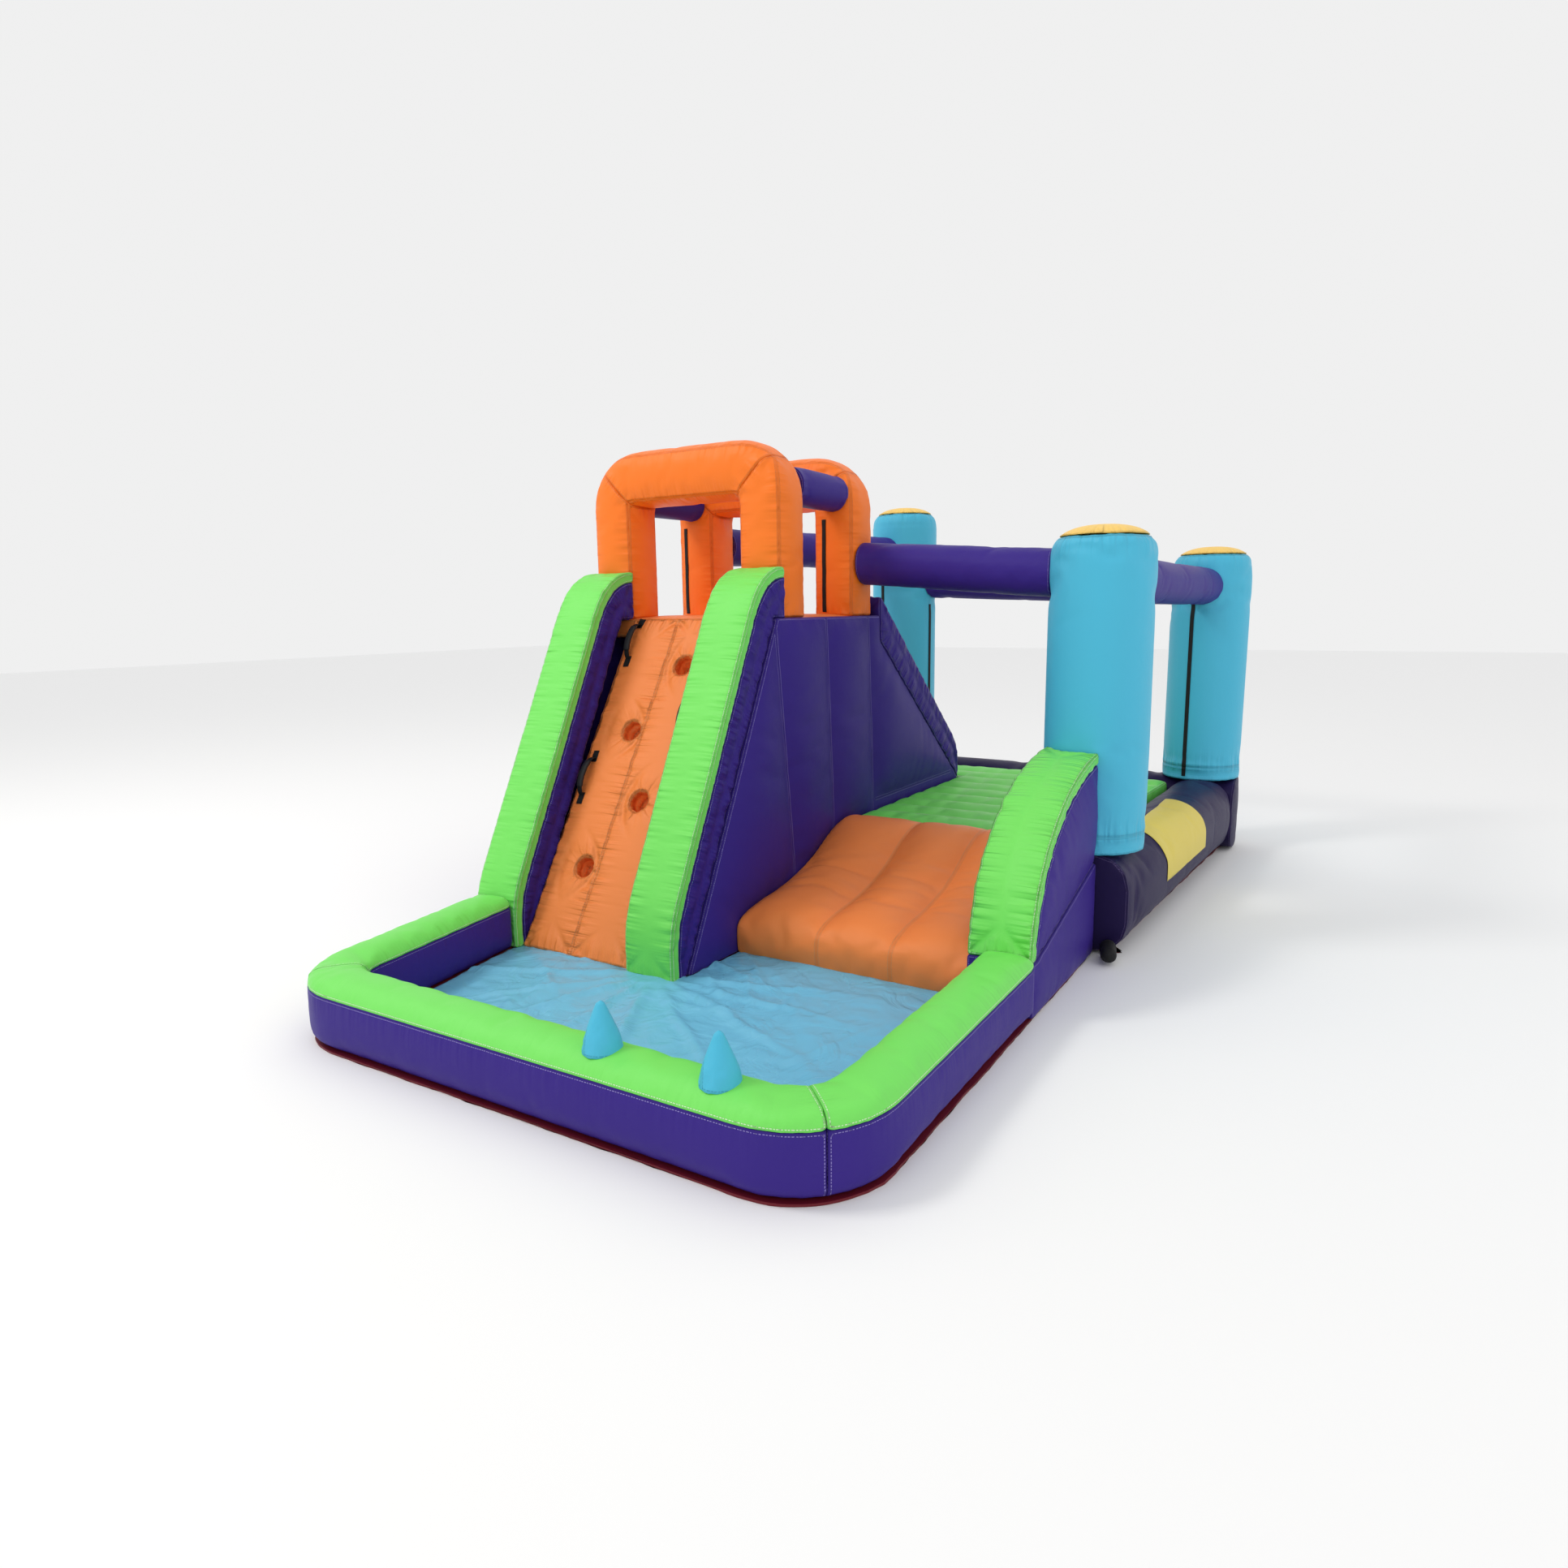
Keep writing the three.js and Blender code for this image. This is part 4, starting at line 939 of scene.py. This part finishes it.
# Ramp bolster: an arched purple air wall on the right of the ramp, with a green cover over it.
# It stands on a purple side wall that closes the pool.
ramp_bolster = blow_up(
    "ramp_bolster_air", "ramp_bolster", voxel=0.018, slack=0.02, reach=0.04, gather=0.4, fold=0.003
)
finish(ramp_bolster, "purple_panel", PURPLE_CLOTH, "ramp_bolster", fill=0.9)
ramp_cover = blow_up(
    "ramp_cover_air",
    "ramp_cover",
    voxel=0.014,
    slack=0.02,
    reach=0.014,
    gather=2.0,
    gather_width=0.06,
    fold=0.009,
    calm=0,
)
finish(ramp_cover, "green_cover", GREEN_CLOTH, "ramp_cover", fill=0.9)
side_wall = blow_up(
    "ramp_side_wall_air", "ramp_side_wall", bore=0.8, slack=0.012, reach=0.02, gather=0.2
)
finish(side_wall, "purple_panel", PURPLE_CLOTH, "ramp_side_wall", fill=0.85)

# Bounce floor: a deep green air bed, held down by rows of webs that run across it.
# The cloth stands up in a soft rib between each two rows.
bed_low, bed_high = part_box("bounce_floor")
BED_ROWS = 8
bed_seams = []
for i in range(1, BED_ROWS + 1):
    row_y = bed_low.y + (bed_high.y - bed_low.y) * i / (BED_ROWS + 1)
    bed_seams += straight_seam((bed_low.x + 0.01, row_y, 2.4), (bed_high.x - 0.01, row_y, 2.4), (0, 0, -1))
bounce_floor = blow_up(
    "bounce_floor_air",
    "bounce_floor",
    voxel=0.024,
    slack=0.04,
    air=10,
    reach=0.055,
    seams=bed_seams,
    gather=0.1,
    fold=0.001,
)
finish(bounce_floor, "green_floor", GREEN_CLOTH, "bounce_floor", fill=0.9)

# Bounce walls: low dark purple air tubes round the bounce floor, which carry the posts.
# The right one starts with a narrow end panel beside the ramp's side wall.
DARK_CLOTH = coated_cloth(
    "dark_cloth", SLOT_COLOURS["dark_wall"], (0.12, 0.09, 0.22), gloss=0.38, shine=0.1
)
for side in ("right", "rear", "left"):
    low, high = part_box(f"bounce_wall_{side}")
    wall_seams = []
    if side == "right":
        wall_seams = straight_seam((high.x + 0.5, low.y + 0.1, 0.03), (high.x + 0.5, low.y + 0.1, 0.4), (-1, 0, 0))
    wall = blow_up(
        f"bounce_wall_{side}_air",
        f"bounce_wall_{side}",
        bore=0.42,
        voxel=0.023,
        slack=0.012,
        reach=0.02,
        seams=wall_seams,
        gather=0.15,
    )
    finish(wall, "dark_wall", DARK_CLOTH, f"bounce_wall_{side}", fill=0.9)
    if side == "right":
        right_wall = wall

# Posts: upright light blue air tubes on the walls, each with a domed yellow cap sewn on.
# A hem runs round the foot, and the cloth gathers where the shoulder turns in to the cap.
CAP_CLOTH = coated_cloth("cap_cloth", SLOT_COLOURS["yellow_cap"], (0.8, 0.55, 0.2))
HEM_RISE = 0.075
DOME = 0.13  # height over which a post turns in to the middle of its cap
DOME_POWER = 2.5
post_tubes = {}
for place in ("front_right", "rear_right", "rear_left"):
    low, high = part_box(f"post_{place}")
    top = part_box(f"post_cap_{place}")[1].z
    foot_middle = ((low.x + high.x) / 2, (low.y + high.y) / 2, low.z + HEM_RISE)
    cap_low, cap_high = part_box(f"post_cap_{place}")
    middle = np.array(((cap_low.x + cap_high.x) / 2, (cap_low.y + cap_high.y) / 2))
    cap_radius = (cap_high.x - cap_low.x) / 2 + 0.004
    cap_ring = [
        (Vector((*middle, top + 0.2)) + (start - Vector(foot_middle)) * cap_radius / 0.5, Vector((0, 0, -1)))
        for start, _ in ring_seam(foot_middle, 0.5)
    ]
    tube = blow_up(
        f"post_{place}_air",
        f"post_{place}",
        bore=0.45,
        voxel=0.02,
        slack=0.01,
        reach=0.014,
        seams=ring_seam(foot_middle, 0.5) + cap_ring,
        gather=1.2,
        gather_width=0.05,
        fold=0.005,
    )
    cap = blow_up(
        f"post_cap_{place}_air",
        f"post_cap_{place}",
        voxel=0.011,
        slack=0.03,
        reach=0.01,
        gather=1.6,
        gather_width=0.05,
        fold=0.004,
    )
    points = rounded_coordinates(tube)
    shoulder = top - DOME
    ring = points[np.abs(points[:, 2] - shoulder) < 0.02]
    radius = (ring[:, 0].max() - ring[:, 0].min()) / 2
    for piece in (tube, cap):
        points = rounded_coordinates(piece)
        out = points[:, :2] - middle
        distance = np.maximum(np.linalg.norm(out, axis=1), 1e-9)
        share = np.clip((points[:, 2] - shoulder) / DOME, 0, 1)
        allowed = radius * (1 - share**DOME_POWER) ** (1 / DOME_POWER)
        pull = np.where(share > 0, np.minimum(1, allowed / distance), 1)
        if piece is cap:
            reach = np.clip(distance / radius, 0, 1)
            dome = shoulder + DOME * (1 - reach**DOME_POWER) ** (1 / DOME_POWER)
            upper = points[:, 2] > cap_low.z + 0.008
            points[:, 2] = np.where(upper, np.minimum(dome, top + 0.004), points[:, 2])
        else:
            points[:, :2] = middle + out * pull[:, None]
        set_coordinates(piece, points)
    finish(tube, "cyan_post", POST_CLOTH, f"post_{place}", fill=0.95)
    finish(cap, "yellow_cap", CAP_CLOTH, f"post_cap_{place}", fill=0.9)
    post_tubes[place] = tube

# Beams: round purple air tubes between the posts and the rear arch, sewn on at both ends.
# They are blown tight, so they stay smooth.
for side in ("front", "right", "rear", "left"):
    tube = blow_up(
        f"beam_{side}_air", f"beam_{side}", bore=0.2, slack=0.006, reach=0.01, gather=0.2, fold=0.0005
    )
    finish(tube, "purple_panel", PURPLE_CLOTH, f"beam_{side}", fill=0.95)

# Label: a blank yellow patch of cloth sewn over the outside of the right wall.
# It is cut to four straight edges and follows the roundness of the wall.
LABEL_CLOTH = coated_cloth("label_cloth", SLOT_COLOURS["label_cloth"], (0.3, 0.25, 0.05))


def sewn_patch(name, carrier, planes, material, proud=0.002, thick=0.0015):
    """Cloth cut along straight lines, lying on an air-filled piece. Planes face what is cut off."""
    piece = bpy.data.objects.new(name, carrier.data.copy())
    scene.collection.objects.link(piece)
    made = bmesh.new()
    made.from_mesh(piece.data)
    for spot, facing in planes:
        everything = made.verts[:] + made.edges[:] + made.faces[:]
        bmesh.ops.bisect_plane(
            made, geom=everything, plane_co=spot, plane_no=facing, clear_outer=True
        )
    made.normal_update()
    lifted = {v: v.co + v.normal * (proud + thick) for v in made.verts}
    for vert, spot in lifted.items():
        vert.co = spot
    made.to_mesh(piece.data)
    made.free()
    only_select(piece)
    wall = piece.modifiers.new("thickness", "SOLIDIFY")
    wall.thickness = thick
    wall.offset = -1
    bpy.ops.object.modifier_apply(modifier="thickness")
    bpy.ops.object.shade_smooth()
    piece.data.materials.clear()
    piece.data.materials.append(material)
    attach(piece, "house")
    return piece


label_low, label_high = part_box("label_panel")
label = sewn_patch(
    "label_patch",
    right_wall,
    [
        ((0, label_low.y, 0), (0, -1, 0)),
        ((0, label_high.y, 0), (0, 1, 0)),
        ((label_low.x, 0, 0), (-1, 0, 0)),
        ((0, 0, label_low.z), (0, 0, -1)),
    ],
    LABEL_CLOTH,
)
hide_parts("label_panel")

# Edge binding: black webbing sewn down the posts and the rear arch, where a net can be tied.
# Each strip is cut straight and follows the cloth beneath it.
WEBBING = coated_cloth("webbing", SLOT_COLOURS["black_webbing"], (0.05, 0.05, 0.05), gloss=0.7)
BINDING = 0.022


def binding_strip(name, carrier, centre, facing, low_z, high_z):
    out = Vector(facing).normalized()
    side = Vector((-out.y, out.x, 0))
    centre = Vector(centre)
    sewn_patch(
        name,
        carrier,
        [
            (centre + side * BINDING / 2, side),
            (centre - side * BINDING / 2, -side),
            (centre, -out),
            ((0, 0, low_z), (0, 0, -1)),
            ((0, 0, high_z), (0, 0, 1)),
        ],
        WEBBING,
    )


for name, place, facing, beam in (
    ("binding_rear_right", "rear_right", (-0.28, -0.96, 0), "beam_right"),
    ("binding_rear_left_outer", "rear_left", (0.98, -0.2, 0), "beam_rear"),
    ("binding_rear_left_front", "rear_left", (-0.3, -0.95, 0), "beam_left"),
):
    low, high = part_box(f"post_{place}")
    middle = ((low.x + high.x) / 2, (low.y + high.y) / 2, 0)
    beam_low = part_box(beam)[0]
    binding_strip(name, post_tubes[place], middle, facing, low.z + 0.02, beam_low.z + 0.02)
for side, share in (("left", 0.3), ("right", 0.35)):
    low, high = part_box(f"rear_arch_leg_{side}")
    spot = (low.x + (high.x - low.x) * share, (low.y + high.y) / 2, 0)
    binding_strip(
        f"binding_arch_{side}", arch_legs[f"rear_arch_leg_{side}"], spot, (0, -1, 0), low.z + 0.02, 1.86
    )

# Air sleeve: the short black cloth tube that the blower is tied into, folded shut on the ground.
# It comes out beside the end panel of the right wall.
sleeve = blow_up(
    "air_sleeve_cloth", "air_sleeve", voxel=0.006, slack=0.03, reach=0.004, gather_width=0.02, fold=0.001
)
finish(sleeve, "black_webbing", WEBBING, "air_sleeve", fill=0.3)

# Handles: loops of black webbing with a rubber grip, sewn to the climbing wall at both ends.
# A square tab of the same webbing is sewn over each end of the loop.
RUBBER = coated_cloth(
    "rubber", SLOT_COLOURS["black_rubber"], (0.03, 0.03, 0.03), gloss=0.5, creases=0.0002
)
TAB = 0.055
for place in ("lower_left", "middle_right", "upper_left"):
    for part, material, slot in (("strap", WEBBING, "black_webbing"), ("grip", RUBBER, "black_rubber")):
        node = f"handle_{part}_{place}"
        piece = merged_copy(f"{node}_sewn", node)
        only_select(piece)
        soften = piece.modifiers.new("soften", "BEVEL")
        soften.width = 0.0006
        soften.segments = 2
        soften.limit_method = "ANGLE"
        bpy.ops.object.modifier_apply(modifier="soften")
        bpy.ops.object.shade_smooth_by_angle(angle=math.radians(40))
        finish(piece, slot, material, node, body=f"handle_{place}")
    low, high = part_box(f"handle_strap_{place}")
    uphill = Vector((0, high.y - low.y, high.z - low.z)).normalized()
    proud = Vector((0, -uphill.z, uphill.y))
    for end, spot, facing in (("lower", low, uphill), ("upper", high, -uphill)):
        spot = Vector((0, spot.y, spot.z))
        sewn_patch(
            f"handle_tab_{place}_{end}",
            climbing_wall,
            [
                ((low.x - 0.004, 0, 0), (-1, 0, 0)),
                ((high.x + 0.004, 0, 0), (1, 0, 0)),
                (spot + facing * 0.022, facing),
                (spot - facing * (TAB - 0.022), -facing),
                (spot - proud * 0.07, -proud),
            ],
            WEBBING,
        )

# Zip: the deflation zip on the back of the rear wall, with its slider.
# It lets the air out before the house is rolled up.
for node, material in (("zip_tape", WEBBING), ("zip_slider", RUBBER)):
    piece = merged_copy(f"{node}_sewn", node)
    only_select(piece)
    soften = piece.modifiers.new("soften", "BEVEL")
    soften.width = 0.0008
    soften.segments = 2
    bpy.ops.object.modifier_apply(modifier="soften")
    body = "zip_slider" if node == "zip_slider" else "house"
    slot = "black_rubber" if node == "zip_slider" else "black_webbing"
    finish(piece, slot, material, node, body=body)

# Inner webs: pale cloth panels with air holes inside the tower and under the bounce floor.
# They hold the two sides of the tower, and the top and bottom of the bed, together.
WEB_CLOTH = coated_cloth("web_cloth", SLOT_COLOURS["white_web"], (0.5, 0.5, 0.45))
for node in ("tower_web_front", "tower_web_rear", "floor_web"):
    web = frame["nodes"][node]
    web.data.materials.clear()
    web.data.materials.append(WEB_CLOTH)
